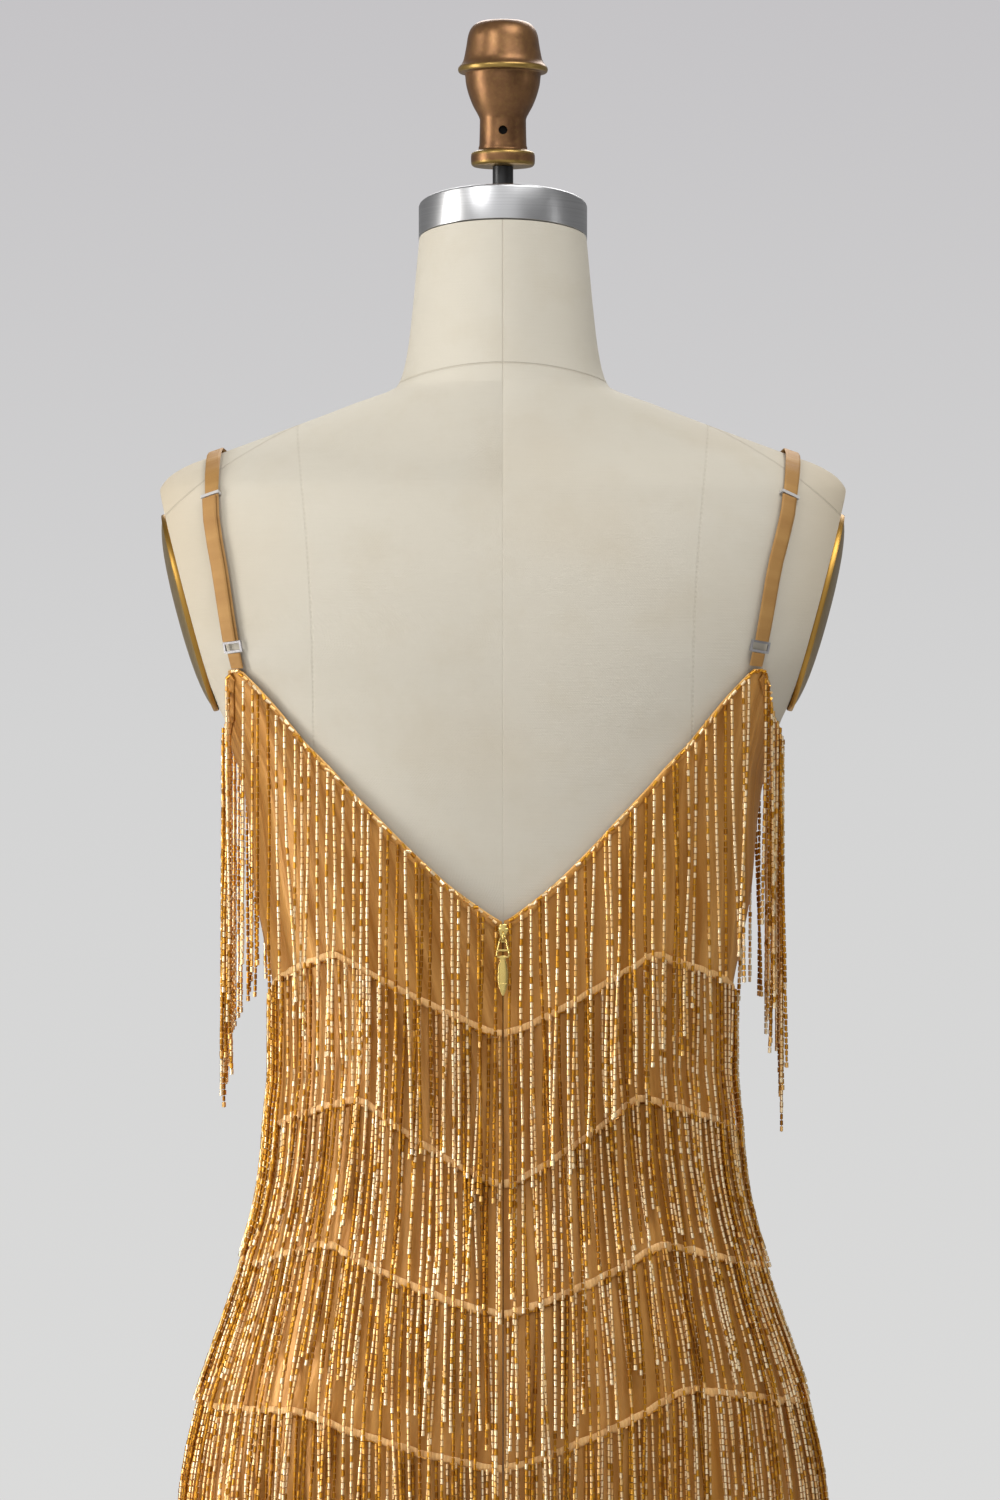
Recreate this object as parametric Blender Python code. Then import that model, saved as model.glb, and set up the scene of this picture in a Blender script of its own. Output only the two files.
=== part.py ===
"""A short gold dress with tiers of bead fringe, a low V back and thin straps, on a dress form.

The dress is cut as a front and two backs that close on a zip. Each tier of fringe is a narrow
tape with its strands hanging from it, and one more tape edges the neck and the armholes. The
dress form is a padded torso with a neck cap, a finial, two arm plates, a pole and a base.

Metres, +Z up. The back of the dress faces -Y and +X is the wearer's right. The origin is on the
floor, in the middle of the base.
"""

import math

import bmesh
import bpy
import numpy as np
from mathutils import Matrix, Vector
from mathutils.bvhtree import BVHTree

# Sizes of the cloth and of the gaps between pieces
SEAM_GAP = 0.0003
CLOTH = 0.0012
EASE = 0.0025
TAPE_GAP = 0.0005
TAPE_THICK = 0.0010
TAPE_HIGH = 0.0045
EDGE_TAPE_HIGH = 0.0055
OUTSIDE = EASE + CLOTH

# The fringe: how far out its two layers lie, and the size of a lock of strands
LOCK_THICK = 0.0012
INNER_LAYER = 0.0064
OUTER_LAYER = 0.0094
RISE_ABOVE_TAPE = 0.016
RISE_DONE_ABOVE_TAPE = 0.004
END_CLEAR = 0.005
LOCK_SHARE = 0.58
TIP_SHARE = 0.80
ROOT_TAPER = 0.006
PATH_STEP = 0.005
PATH_TOLERANCE = 0.0009
FRINGE_LONG = 0.150
NECK_FRINGE_LONG = 0.140
ARMHOLE_FRINGE_LONG = 0.205

# Where the straps meet the dress, as angles round the body from the centre back. The right one
# sits a little nearer the middle, so each angle on the right stands for one on the left.
BACK_STRAP = 54.6
FRONT_STRAP = 148.0
LEFT_ANGLES = (0.0, BACK_STRAP, 90.0, 180.0)
RIGHT_ANGLES = (0.0, 50.2, 90.0, 180.0)
STRAP_HALF_TOP = 1.7
SIDE_SEAM = 90.0

# The zip: half the opening between the backs, and where the zip ends
ZIP_HALF_GAP = 0.0012
SEAM_HALF_GAP = 0.00015
ZIP_BOTTOM = 0.8885
TAPE_END = 0.0015
NECK_TAPE_END = 0.0048

HEM = 0.600
BUST_APART = 0.086
BUST_HEIGHT = 1.200
BUST_WIDE = 0.050
BUST_TALL = 0.060
CLOTH_BUST = (0.0280, 0.25)
FORM_BUST = (0.0232, 0.50)
NECK_TILT = math.tan(math.radians(9))
NECK_FROM = 1.42
NECK_TOP = 1.496

# The body at each height: half width, depth behind and in front of the pole, and how boxy it is
BODY = np.array([
    # height, half_width, back, front, power
    (0.7000, 0.1770, 0.1080, 0.1020, 2.30),
    (0.7400, 0.1785, 0.1120, 0.1050, 2.30),
    (0.7800, 0.1765, 0.1150, 0.1060, 2.30),
    (0.8200, 0.1685, 0.1140, 0.1060, 2.30),
    (0.8600, 0.1570, 0.1090, 0.1040, 2.30),
    (0.9000, 0.1440, 0.0990, 0.1010, 2.30),
    (0.9400, 0.1345, 0.0880, 0.0970, 2.30),
    (0.9800, 0.1300, 0.0790, 0.0930, 2.30),
    (1.0300, 0.1283, 0.0720, 0.0890, 2.30),
    (1.0600, 0.1295, 0.0710, 0.0890, 2.30),
    (1.0900, 0.1350, 0.0750, 0.0920, 2.30),
    (1.1200, 0.1405, 0.0810, 0.0970, 2.30),
    (1.1600, 0.1440, 0.0880, 0.1030, 2.30),
    (1.1850, 0.1480, 0.0920, 0.1060, 2.35),
    (1.2050, 0.1560, 0.0940, 0.1070, 2.35),
    (1.2255, 0.1650, 0.0960, 0.1050, 2.40),
    (1.2600, 0.1870, 0.0975, 0.0970, 2.40),
    (1.2900, 0.1970, 0.0965, 0.0870, 2.40),
    (1.3200, 0.2000, 0.0920, 0.0750, 2.40),
    (1.3400, 0.2005, 0.0870, 0.0660, 2.30),
    (1.3500, 0.1990, 0.0845, 0.0610, 2.20),
    (1.3566, 0.1950, 0.0825, 0.0580, 2.00),
    (1.3640, 0.1845, 0.0800, 0.0560, 1.80),
    (1.3725, 0.1620, 0.0770, 0.0540, 1.65),
    (1.3880, 0.1200, 0.0710, 0.0520, 1.60),
    (1.4005, 0.0870, 0.0650, 0.0520, 1.70),
    (1.4110, 0.0610, 0.0590, 0.0530, 2.00),
    (1.4300, 0.0555, 0.0530, 0.0540, 2.00),
    (1.4540, 0.0525, 0.0490, 0.0540, 2.00),
    (1.4800, 0.0500, 0.0460, 0.0530, 2.00),
    (1.4960, 0.0485, 0.0450, 0.0520, 2.00),
])

# The top edge of the dress, from the V at the centre back round to the V at the centre front
TOP_EDGE = np.array([
    # angle, height
    (0.0, 1.1020),
    (10.6, 1.1245),
    (21.2, 1.1500),
    (31.8, 1.1760),
    (42.3, 1.2040),
    (52.9, 1.2450),
    (56.3, 1.2450),
    (67.5, 1.2210),
    (78.8, 1.2090),
    (90.0, 1.2040),
    (105.0, 1.2030),
    (118.0, 1.2090),
    (132.0, 1.2230),
    (146.3, 1.2560),
    (149.7, 1.2560),
    (160.0, 1.2200),
    (170.0, 1.1900),
    (180.0, 1.1650),
])

# The upper edge of each tape, which dips at the centres and rises to a peak beside them
TAPE_ANGLES = (0.0, 31.8, SIDE_SEAM, FRONT_STRAP, 180.0)
TAPES = (
    # centre_back, back_peak, side, front_peak, centre_front
    (1.0430, 1.0835, 1.0608, 1.0780, 1.0430),
    (0.9590, 1.0040, 0.9796, 1.0000, 0.9620),
    (0.8875, 0.9225, 0.9000, 0.9200, 0.8850),
    (0.8042, 0.8360, 0.8200, 0.8380, 0.8050),
    (0.7240, 0.7570, 0.7410, 0.7580, 0.7250),
    (0.6440, 0.6770, 0.6610, 0.6780, 0.6450),
)
ROWS_BETWEEN_LINES = (6, 3, 3, 3, 2, 2, 1)

# The straps, by how far each stands from the middle
STRAP_WIDE = 0.009
STRAP_THICK = 0.0011
STRAP_OFF_FORM = 0.0021
STRAP_MIDDLE = 1.235
STRAP_WAY = np.array([
    # turn from the back over the shoulder, distance of the left strap and of the right
    (5.0, 0.1475, 0.1400),
    (17.0, 0.1510, 0.1437),
    (43.7, 0.1583, 0.1520),
    (62.6, 0.1650, 0.1618),
    (85.0, 0.1662, 0.1658),
    (115.0, 0.1520, 0.1520),
    (150.0, 0.1190, 0.1190),
    (172.0, 0.1040, 0.1040),
])
STRAP_STEPS = 28
STRAP_CLEAR = 0.0016
RING_BOTTOM = 1.2555
RING_TOP = 1.2625
RING_WIDE = 0.0124
RING_BAR = 0.0012
ADJUSTER = 1.3440
ADJUSTER_HIGH = 0.0018
ADJUSTER_BAR = 0.0007

# The slider and pull of the zip
SLIDER_TOP = 1.1015
SLIDER_HIGH = 0.0100
SLIDER_HALF_WIDE = 0.0028
SLIDER_THICK = 0.0016
BRIDGE_HALF_WIDE = 0.0008
BRIDGE_BAR = 0.0007
BRIDGE_RISE = 0.0034
PULL_PIVOT = 1.0945
PULL_THICK = 0.0010
PULL_OFF_SLIDER = 0.0014

# The stand and the fittings of the form
BASE_RADIUS = 0.200
BASE_EDGE = 0.010
BASE_RISE = 0.020
BOSS_RADIUS = 0.032
BOSS_TOP = 0.070
SOCKET_FLOOR = 0.012
POLE_RADIUS = 0.016
CAP_HIGH = 0.0205
ROD_RADIUS = 0.006
FINIAL_BOTTOM = 1.5385
PLATE_CENTRE = Vector((0.1795, -0.003, 1.2800))
PLATE_LEAN = math.radians(15)
PLATE_HALF_HIGH = 0.059
PLATE_HALF_WIDE = 0.040
PLATE_EDGE = 0.0030
PLATE_DOME = 0.0060
SCREW_HOLE_RADIUS = 0.0026

COLOURS = {
    # colour, roughness, metallic
    "gold_cloth": ((0.46, 0.26, 0.09), 0.60, 0.0),
    "gold_beads": ((0.83, 0.52, 0.17), 0.25, 1.0),
    "gold_metal": ((0.72, 0.52, 0.20), 0.30, 1.0),
    "silver_metal": ((0.75, 0.75, 0.76), 0.25, 1.0),
    "canvas": ((0.68, 0.64, 0.53), 0.85, 0.0),
    "steel": ((0.55, 0.55, 0.56), 0.30, 1.0),
    "copper": ((0.36, 0.17, 0.07), 0.40, 0.7),
    "black_metal": ((0.03, 0.03, 0.03), 0.40, 0.8),
}


def read_curve(table, at):
    """The other columns of a table at that value of its first, on a smooth curve with no overshoot."""
    x, y = table[:, 0], table[:, 1:]
    at = min(max(at, x[0]), x[-1])
    rise = np.diff(y, axis=0) / np.diff(x)[:, None]
    both = rise[:-1] * rise[1:]
    total = rise[:-1] + rise[1:]
    inner = np.where(both > 0, 2 * both / np.where(total == 0, 1, total), 0)
    slope = np.vstack([rise[:1], inner, rise[-1:]])
    k = min(max(int(np.searchsorted(x, at)) - 1, 0), len(x) - 2)
    wide = x[k + 1] - x[k]
    t = (at - x[k]) / wide
    start = (1 + 2 * t) * (1 - t) ** 2 * y[k] + t * (1 - t) ** 2 * wide * slope[k]
    end = t * t * (3 - 2 * t) * y[k + 1] + t * t * (t - 1) * wide * slope[k + 1]
    return start + end


def folded(angle):
    """An angle round the body as one of the left half, from 0 at the back to 180 at the front."""
    angle %= 360
    if angle > 180:
        return 360 - angle
    return float(np.interp(angle, RIGHT_ANGLES, LEFT_ANGLES))


def bust(x, z, figure):
    """How far the bust stands out of the chest there, for the cloth's figure or the form's."""
    reach, cleavage = figure
    reach *= math.exp(-(((z - BUST_HEIGHT) / BUST_TALL) ** 2))
    aside = abs(x) - BUST_APART
    if aside > 0:
        return reach * math.exp(-((aside / BUST_WIDE) ** 2))
    return reach * (1 - cleavage * (1 - (x / BUST_APART) ** 2) ** 2)


def body_point(angle, z, out=0.0, figure=CLOTH_BUST):
    """The point of the body's surface at that angle and height, moved out level by some distance."""
    half_width, back, front, power = read_curve(BODY, z)
    s, c = math.sin(math.radians(angle)), math.cos(math.radians(angle))
    depth = back if c > 0 else front
    x = half_width * math.copysign(abs(s) ** (2 / power), s)
    y = depth * math.copysign(abs(c) ** (2 / power), -c)
    normal = Vector((
        math.copysign((abs(x) / half_width) ** (power - 1) / half_width, s),
        math.copysign((abs(y) / depth) ** (power - 1) / depth, -c),
        0,
    )).normalized()
    if c < 0:
        y += bust(x, z, figure) * abs(c) ** 0.5
    return Vector((x, y, z)) + normal * out


def body_angle(point):
    """The angle round the body of a point near it."""
    half_width, back, front, power = read_curve(BODY, point.z)
    depth = back if point.y < 0 else front
    across = math.copysign((abs(point.x) / half_width) ** (power / 2), point.x)
    along = math.copysign((abs(point.y) / depth) ** (power / 2), -point.y)
    return math.degrees(math.atan2(across, along)) % 360


def pushed_out(point, out):
    """The point, moved away from the pole if the body, grown by some distance, covers it."""
    half_width, back, front, power = read_curve(BODY, point.z)
    is_front = point.y > 0
    depth = front if is_front else back
    swell = bust(point.x, point.z, CLOTH_BUST) if is_front else 0
    swell *= min(1, max(0, abs(point.y) - swell) / depth) ** (power / 4)
    deep = max(0, abs(point.y) - swell)
    cover = (abs(point.x) / (half_width + out)) ** power + (deep / (depth + out)) ** power
    if cover >= 1:
        return point
    grow = cover ** (-1 / power)
    return Vector((point.x * grow, math.copysign(deep * grow + swell, point.y), point.z))


def tape_height(tier, angle):
    """The upper edge of a tape. Tier 0 is the edge of the dress, and the hem follows the last."""
    if tier == 0:
        return float(np.interp(folded(angle), TOP_EDGE[:, 0], TOP_EDGE[:, 1]))
    if tier > len(TAPES):
        return HEM
    return float(np.interp(folded(angle), TAPE_ANGLES, TAPES[tier - 1]))


def strand_out(tier, angle, z):
    """How far out a tier's strands lie: on the cloth, then over the tape of the next tier."""
    if tier == len(TAPES):
        return INNER_LAYER
    above = z - tape_height(tier + 1, angle)
    share = (RISE_ABOVE_TAPE - above) / (RISE_ABOVE_TAPE - RISE_DONE_ABOVE_TAPE)
    return INNER_LAYER + min(max(share, 0), 1) * (OUTER_LAYER - INNER_LAYER)


def hang(start, long, tier):
    """The line of a strand: straight down, and pushed out wherever the body is in its way."""
    line = [start.copy()]
    while long > 1e-6:
        step = min(PATH_STEP, long)
        down = line[-1] - Vector((0, 0, step))
        down = pushed_out(down, strand_out(tier, body_angle(down), down.z))
        move = down - line[-1]
        line.append(line[-1] + move * (step / move.length))
        long -= step
    return line


def slimmed(line):
    """Fewer points of a line, none of those left out further from it than the tolerance."""
    first, last = line[0], line[-1]
    along = (last - first).normalized()
    away = [((p - first) - along * (p - first).dot(along)).length for p in line]
    worst = max(range(len(line)), key=away.__getitem__)
    if away[worst] <= PATH_TOLERANCE:
        return [first, last]
    return slimmed(line[: worst + 1])[:-1] + slimmed(line[worst:])


def column_angles():
    """The angles at which the cloth is shaped, once round from the centre back."""
    half = np.concatenate([
        np.linspace(0, BACK_STRAP - STRAP_HALF_TOP, 6),
        np.linspace(BACK_STRAP + STRAP_HALF_TOP, SIDE_SEAM, 4),
        np.linspace(SIDE_SEAM, FRONT_STRAP - STRAP_HALF_TOP, 6)[1:],
        np.linspace(FRONT_STRAP + STRAP_HALF_TOP, 180, 4),
    ])
    return np.concatenate([np.interp(half, LEFT_ANGLES, RIGHT_ANGLES), 360 - half[-2::-1]])


COLUMNS = column_angles()
LAST = len(COLUMNS) - 1
BACK_NECK = 5
BACK_ARM = 6
SIDE = 9
FRONT_ARM = 14
FRONT_NECK = 15


def wall_point(column, tier, down, out):
    """A point of the cloth below a tape's upper edge, on the straight stretch down to its next row."""
    top = panel_point(column, (tier, 0), out)
    below = panel_point(column, (tier, 1 / ROWS_BETWEEN_LINES[tier]), out)
    return top.lerp(below, down / (top.z - below.z))


def column_point(column, tier, down, out, end_gap):
    """The same between two columns of the cloth. The gap keeps the ends clear of the zip."""
    low = min(int(column), LAST - 1)
    ends = []
    for k in (low, low + 1):
        point = wall_point(k, tier, down, out)
        if k in (0, LAST):
            point.x = end_gap if k == 0 else -end_gap
        ends.append(point)
    return ends[0].lerp(ends[1], column - low)


def material(name):
    made = bpy.data.materials.get(name)
    if made is None:
        colour, roughness, metallic = COLOURS[name]
        made = bpy.data.materials.new(name)
        made.use_nodes = True
        shader = made.node_tree.nodes["Principled BSDF"]
        shader.inputs["Base Color"].default_value = (*colour, 1)
        shader.inputs["Roughness"].default_value = roughness
        shader.inputs["Metallic"].default_value = metallic
    return made


def finish(name, mesh, colour):
    """The object of a mesh, with its faces turned outwards and its round stretches smooth."""
    bm = bmesh.new()
    bm.from_mesh(mesh)
    bmesh.ops.recalc_face_normals(bm, faces=bm.faces)
    bm.to_mesh(mesh)
    bm.free()
    mesh.shade_smooth()
    mesh.set_sharp_from_angle(angle=math.radians(40))
    mesh.materials.append(material(colour))
    made = bpy.data.objects.new(name, mesh)
    bpy.context.scene.collection.objects.link(made)
    return made


def solid(name, points, faces, colour):
    mesh = bpy.data.meshes.new(name)
    mesh.from_pydata([tuple(p) for p in points], [], faces)
    return finish(name, mesh, colour)


def lofted(name, rings, colour):
    """A closed body through rings of points, with a flat face at each end."""
    count = len(rings[0])
    points = [p for ring in rings for p in ring]
    faces = [tuple(range(count)), tuple(range(len(points) - count, len(points)))]
    for r in range(len(rings) - 1):
        for k in range(count):
            a, b = r * count + k, r * count + (k + 1) % count
            faces.append((a, b, b + count, a + count))
    return solid(name, points, faces, colour)


def turned(name, profile, colour, sides=32):
    """A body turned round the pole from radius and height pairs that start and end on the axis."""
    points, faces = [Vector((0, 0, profile[0][1])), Vector((0, 0, profile[-1][1]))], []
    for radius, height in profile[1:-1]:
        for k in range(sides):
            turn = math.tau * k / sides
            points.append(Vector((radius * math.cos(turn), radius * math.sin(turn), height)))
    rings = len(profile) - 2
    for k in range(sides):
        near, far = 2 + k, 2 + (k + 1) % sides
        faces.append((0, near, far))
        faces.append((1, near + (rings - 1) * sides, far + (rings - 1) * sides))
        for r in range(rings - 1):
            a, b = near + r * sides, far + r * sides
            faces.append((a, b, b + sides, a + sides))
    return solid(name, points, faces, colour)


def block(name, low, high, colour):
    low, high = Vector(low), Vector(high)
    mesh = bpy.data.meshes.new(name)
    bm = bmesh.new()
    bmesh.ops.create_cube(bm, size=1)
    bmesh.ops.scale(bm, vec=high - low, verts=bm.verts)
    bmesh.ops.translate(bm, vec=(low + high) / 2, verts=bm.verts)
    bm.to_mesh(mesh)
    bm.free()
    return finish(name, mesh, colour)


def joined(target, tool, operation):
    """Adds a tool to a body or cuts it away. The tool itself isn't part of the object."""
    tool.hide_render = True
    tool.display_type = "WIRE"
    change = target.modifiers.new(f"{operation.lower()} {tool.name}", "BOOLEAN")
    change.operation = operation
    change.solver = "EXACT"
    change.object = tool
    return target


def panel_point(column, row, out):
    """A point of the cloth's grid. Its rows run from the top edge down to the hem, tape by tape."""
    angle = COLUMNS[column]
    tier, share = row
    z = tape_height(tier, angle) * (1 - share) + tape_height(tier + 1, angle) * share
    return body_point(angle, z, out)


def panel(name, first, last, first_gap, last_gap):
    """A cloth panel between two seams, as a thin wall. The gaps move its two side edges inwards."""
    rows = [(t, k / n) for t, n in enumerate(ROWS_BETWEEN_LINES) for k in range(n)]
    rows.append((len(TAPES), 1.0))
    wide = last - first + 1
    points = []
    for out in (EASE, OUTSIDE):
        for row in rows:
            for column in range(first, last + 1):
                point = panel_point(column, row, out)
                if column == first:
                    point += first_gap(point)
                if column == last:
                    point += last_gap(point)
                points.append(point)
    layer = len(rows) * wide
    faces = []
    for r in range(len(rows) - 1):
        for k in range(wide - 1):
            a = r * wide + k
            quad = (a, a + 1, a + wide + 1, a + wide)
            faces.append(quad)
            faces.append(tuple(layer + v for v in reversed(quad)))
        for a in (r * wide, r * wide + wide - 1):
            faces.append((a, a + wide, a + wide + layer, a + layer))
    for a in range(wide - 1):
        for start in (a, (len(rows) - 1) * wide + a):
            faces.append((start, start + 1, start + 1 + layer, start + layer))
    return solid(name, points, faces, "gold_cloth")


def centre_back_gap(side):
    """The backs stand apart for the zip and almost meet below it."""
    def gap(point):
        half = ZIP_HALF_GAP if point.z > ZIP_BOTTOM - 0.002 else SEAM_HALF_GAP
        return Vector((side * half, 0, 0))
    return gap


def side_seam_gap(towards):
    return lambda point: Vector((0, towards * SEAM_GAP / 2, 0))


def dress_panels():
    panel("back_right", 0, SIDE, centre_back_gap(1), side_seam_gap(-1))
    panel("front", SIDE, LAST - SIDE, side_seam_gap(1), side_seam_gap(1))
    panel("back_left", LAST - SIDE, LAST, side_seam_gap(-1), centre_back_gap(-1))


def lock_rings(corners, long, tier):
    """The rings of points of a lock that hangs from the four corners of its root."""
    left_out, right_out, right_in, left_in = corners
    middle = sum(corners, Vector()) / 4
    across = right_out + right_in - left_out - left_in
    across = Vector((across.x, across.y, 0))
    wide = across.length / 2 * LOCK_SHARE
    across.normalize()
    outward = Vector((across.y, -across.x, 0))
    if outward.dot(left_out - left_in) < 0:
        outward = -outward
    taper = Vector((middle.x, middle.y, min(p.z for p in corners) - ROOT_TAPER))
    taper = pushed_out(taper, strand_out(tier, body_angle(taper), taper.z))
    line = slimmed(hang(taper, long - (middle.z - taper.z), tier))
    rings = []
    for point in line:
        share = TIP_SHARE if point is line[-1] else 1
        half = across * (wide * share / 2)
        thick = outward * (LOCK_THICK / 2)
        rings.append([
            point - half + thick,
            point + half + thick,
            point + half - thick,
            point - half - thick,
        ])
    return rings


def room_for(tier, angle, long):
    """A lock's length, cut short where the next tier's locks rise over a tape of their own."""
    if tier + 2 > len(TAPES):
        return long
    end = tape_height(tier + 2, angle) + RISE_ABOVE_TAPE + END_CLEAR
    return min(long, tape_height(tier, angle) - TAPE_HIGH - end)


def fringe(name, tier, stations, bare, long, high, end_gap, lift=0.0):
    """A tape along the cloth with a lock under each stretch of it that isn't bare."""
    inner = OUTSIDE + TAPE_GAP + lift
    outer = inner + TAPE_THICK
    points, faces = [], []
    for column in stations:
        for down, out in ((0, outer), (high, outer), (high, inner), (0, inner)):
            points.append(column_point(column, tier, down, out, end_gap))
    for k in range(len(stations) - 1):
        a, b = 4 * k, 4 * k + 4
        for corner in (0, 2, 3):
            after = (corner + 1) % 4
            faces.append((a + corner, a + after, b + after, b + corner))
        root = (a + 1, b + 1, b + 2, a + 2)
        if (stations[k] + stations[k + 1]) / 2 in bare:
            faces.append(root)
            continue
        corners = [points[v] for v in root]
        angle = body_angle(sum(corners, Vector()) / 4)
        for ring in lock_rings(corners, room_for(tier, angle, long), tier):
            new = tuple(range(len(points), len(points) + 4))
            points.extend(ring)
            for corner in range(4):
                after = (corner + 1) % 4
                faces.append((root[corner], root[after], new[after], new[corner]))
            root = new
        faces.append(root)
    faces.append((0, 1, 2, 3))
    faces.append(tuple(range(4 * len(stations) - 4, 4 * len(stations))))
    return solid(name, points, faces, "gold_beads")


def tier_fringes():
    """The six tapes round the dress, each open at the centre back for the zip."""
    strap_tops = [k + 0.5 for k in (BACK_NECK, FRONT_ARM, LAST - FRONT_NECK, LAST - BACK_ARM)]
    for tier in range(1, len(TAPES) + 1):
        stations = list(range(LAST + 1))
        fringe(f"fringe_tier_{tier}", tier, stations, strap_tops, FRINGE_LONG, TAPE_HIGH, TAPE_END)


def edge_fringes():
    """The edging of the neck and the armholes, as one length for each edge."""
    lengths = (
        # name, first and last column, locks to a column, length, lift off a curved wall
        ("fringe_back_neck_right", 0, BACK_NECK, 2, NECK_FRINGE_LONG, 0.0),
        ("fringe_armhole_right", BACK_ARM, FRONT_ARM, 1, ARMHOLE_FRINGE_LONG, 0.00045),
        ("fringe_front_neck", FRONT_NECK, LAST - FRONT_NECK, 2, NECK_FRINGE_LONG, 0.0024),
        ("fringe_armhole_left", LAST - FRONT_ARM, LAST - BACK_ARM, 1, ARMHOLE_FRINGE_LONG, 0.00045),
        ("fringe_back_neck_left", LAST - BACK_NECK, LAST, 2, NECK_FRINGE_LONG, 0.0),
    )
    for name, first, last, each, long, lift in lengths:
        stations = [first + k / each for k in range((last - first) * each + 1)]
        fringe(name, 0, stations, (), long, EDGE_TAPE_HIGH, NECK_TAPE_END, lift)


def tilted(point):
    """The neck leans, so that its rings drop towards the front."""
    share = min(max((point.z - NECK_FROM) / (NECK_TOP - NECK_FROM), 0), 1)
    return point + Vector((0, 0, -point.y * NECK_TILT * share))


def torso():
    """The padded form, with a flat cut at each armhole for its plate."""
    low, high = BODY[0, 0], NECK_TOP
    bottom_edge = [body_point(a, low, -0.004, FORM_BUST) for a in COLUMNS[:-1]]
    heights = np.concatenate([
        (low + 0.005, 0.75, 0.80, 0.85, 0.90, 0.95, 0.99, 1.02, 1.05, 1.08, 1.11, 1.14, 1.17),
        (1.195, 1.215, 1.235, 1.255, 1.275, 1.30, 1.325),
        (1.343, 1.352, 1.3585, 1.3655, 1.3740, 1.3840, 1.3940, 1.4030, 1.412),
        (1.428, 1.460, high),
    ])
    rings = [bottom_edge]
    for z in heights:
        ring = [tilted(body_point(a, z, 0, FORM_BUST)) for a in COLUMNS[:-1]]
        rings.append(ring)
    form = lofted("form_torso", rings, "canvas")
    surface = surface_of(form)
    for side, name in ((1, "right"), (-1, "left")):
        reach = 0.06
        cutter = block(f"arm_cut_{name}", (0, -0.15, -0.12), (reach, 0.15, 0.12), "canvas")
        cutter.matrix_world = plate_place(side)
        joined(form, cutter, "DIFFERENCE")
    return surface


def plate_place(side):
    """The place of an arm plate: its own +X points out of the armhole, a little downwards."""
    centre = Vector((side * PLATE_CENTRE.x, PLATE_CENTRE.y, PLATE_CENTRE.z))
    lean = Matrix.Rotation(side * PLATE_LEAN, 4, "Y")
    turn = Matrix.Rotation(math.pi if side < 0 else 0, 4, "Z")
    return Matrix.Translation(centre) @ lean @ turn


def arm_plates(sides=28):
    """An oval plate with a rolled rim and a low dome in each armhole."""
    steps = ((0.975, 0.0), (1.0, 0.0008), (1.0, PLATE_EDGE - 0.0008), (0.97, PLATE_EDGE),
             (0.72, PLATE_EDGE + 0.55 * PLATE_DOME), (0.36, PLATE_EDGE + 0.9 * PLATE_DOME))
    for side, name in ((1, "right"), (-1, "left")):
        rings = []
        for share, out in steps:
            rings.append([
                Vector((
                    SEAM_GAP + out,
                    share * PLATE_HALF_WIDE * math.cos(math.tau * k / sides),
                    share * PLATE_HALF_HIGH * math.sin(math.tau * k / sides),
                ))
                for k in range(sides)
            ])
        plate = lofted(f"arm_plate_{name}", rings, "copper")
        plate.matrix_world = plate_place(side)


def neck_fittings():
    """The steel cap of the neck, the rod above it and the finial on the rod."""
    angles = np.linspace(0, 360, 33)[:-1]
    rings = []
    for up, out in ((SEAM_GAP, -0.0015), (SEAM_GAP + 0.0008, 0.0004),
                    (CAP_HIGH - 0.001, 0.0002), (CAP_HIGH, -0.0012)):
        ring = [tilted(body_point(a, NECK_TOP, out)) + Vector((0, 0, up)) for a in angles]
        rings.append(ring)
    lofted("neck_cap", rings, "steel")
    cap_top = NECK_TOP + CAP_HIGH + SEAM_GAP
    turns = [math.tau * k / 16 for k in range(16)]
    foot = []
    for turn in turns:
        y = ROD_RADIUS * math.sin(turn)
        foot.append(Vector((ROD_RADIUS * math.cos(turn), y, cap_top - y * NECK_TILT)))
    top = [Vector((p.x, p.y, FINIAL_BOTTOM - SEAM_GAP)) for p in foot]
    lofted("neck_rod", [foot, top], "black_metal")
    finial()


def finial():
    """A turned knob: a collar, a neck with a screw hole, a cup, a flange and a domed top."""
    profile = (
        # radius, height above the finial's foot
        (0.0, 0.0),
        (0.0176, 0.0), (0.0184, 0.0010), (0.0184, 0.0072), (0.0142, 0.0092),
        (0.0133, 0.0270), (0.0142, 0.0310), (0.0196, 0.0405), (0.0222, 0.0535),
        (0.0256, 0.0546), (0.0260, 0.0560), (0.0240, 0.0600), (0.0218, 0.0700),
        (0.0190, 0.0812), (0.0120, 0.0843),
        (0.0, 0.0843),
    )
    knob = turned("finial", [(r, FINIAL_BOTTOM + h) for r, h in profile], "copper", 20)
    turns = [math.tau * k / 12 for k in range(12)]
    hole = []
    for y in (-0.030, -0.006):
        hole.append([
            Vector((
                SCREW_HOLE_RADIUS * math.cos(t),
                y,
                FINIAL_BOTTOM + 0.0208 + SCREW_HOLE_RADIUS * math.sin(t),
            ))
            for t in turns
        ])
    joined(knob, lofted("screw_hole", hole, "copper"), "DIFFERENCE")


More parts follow.
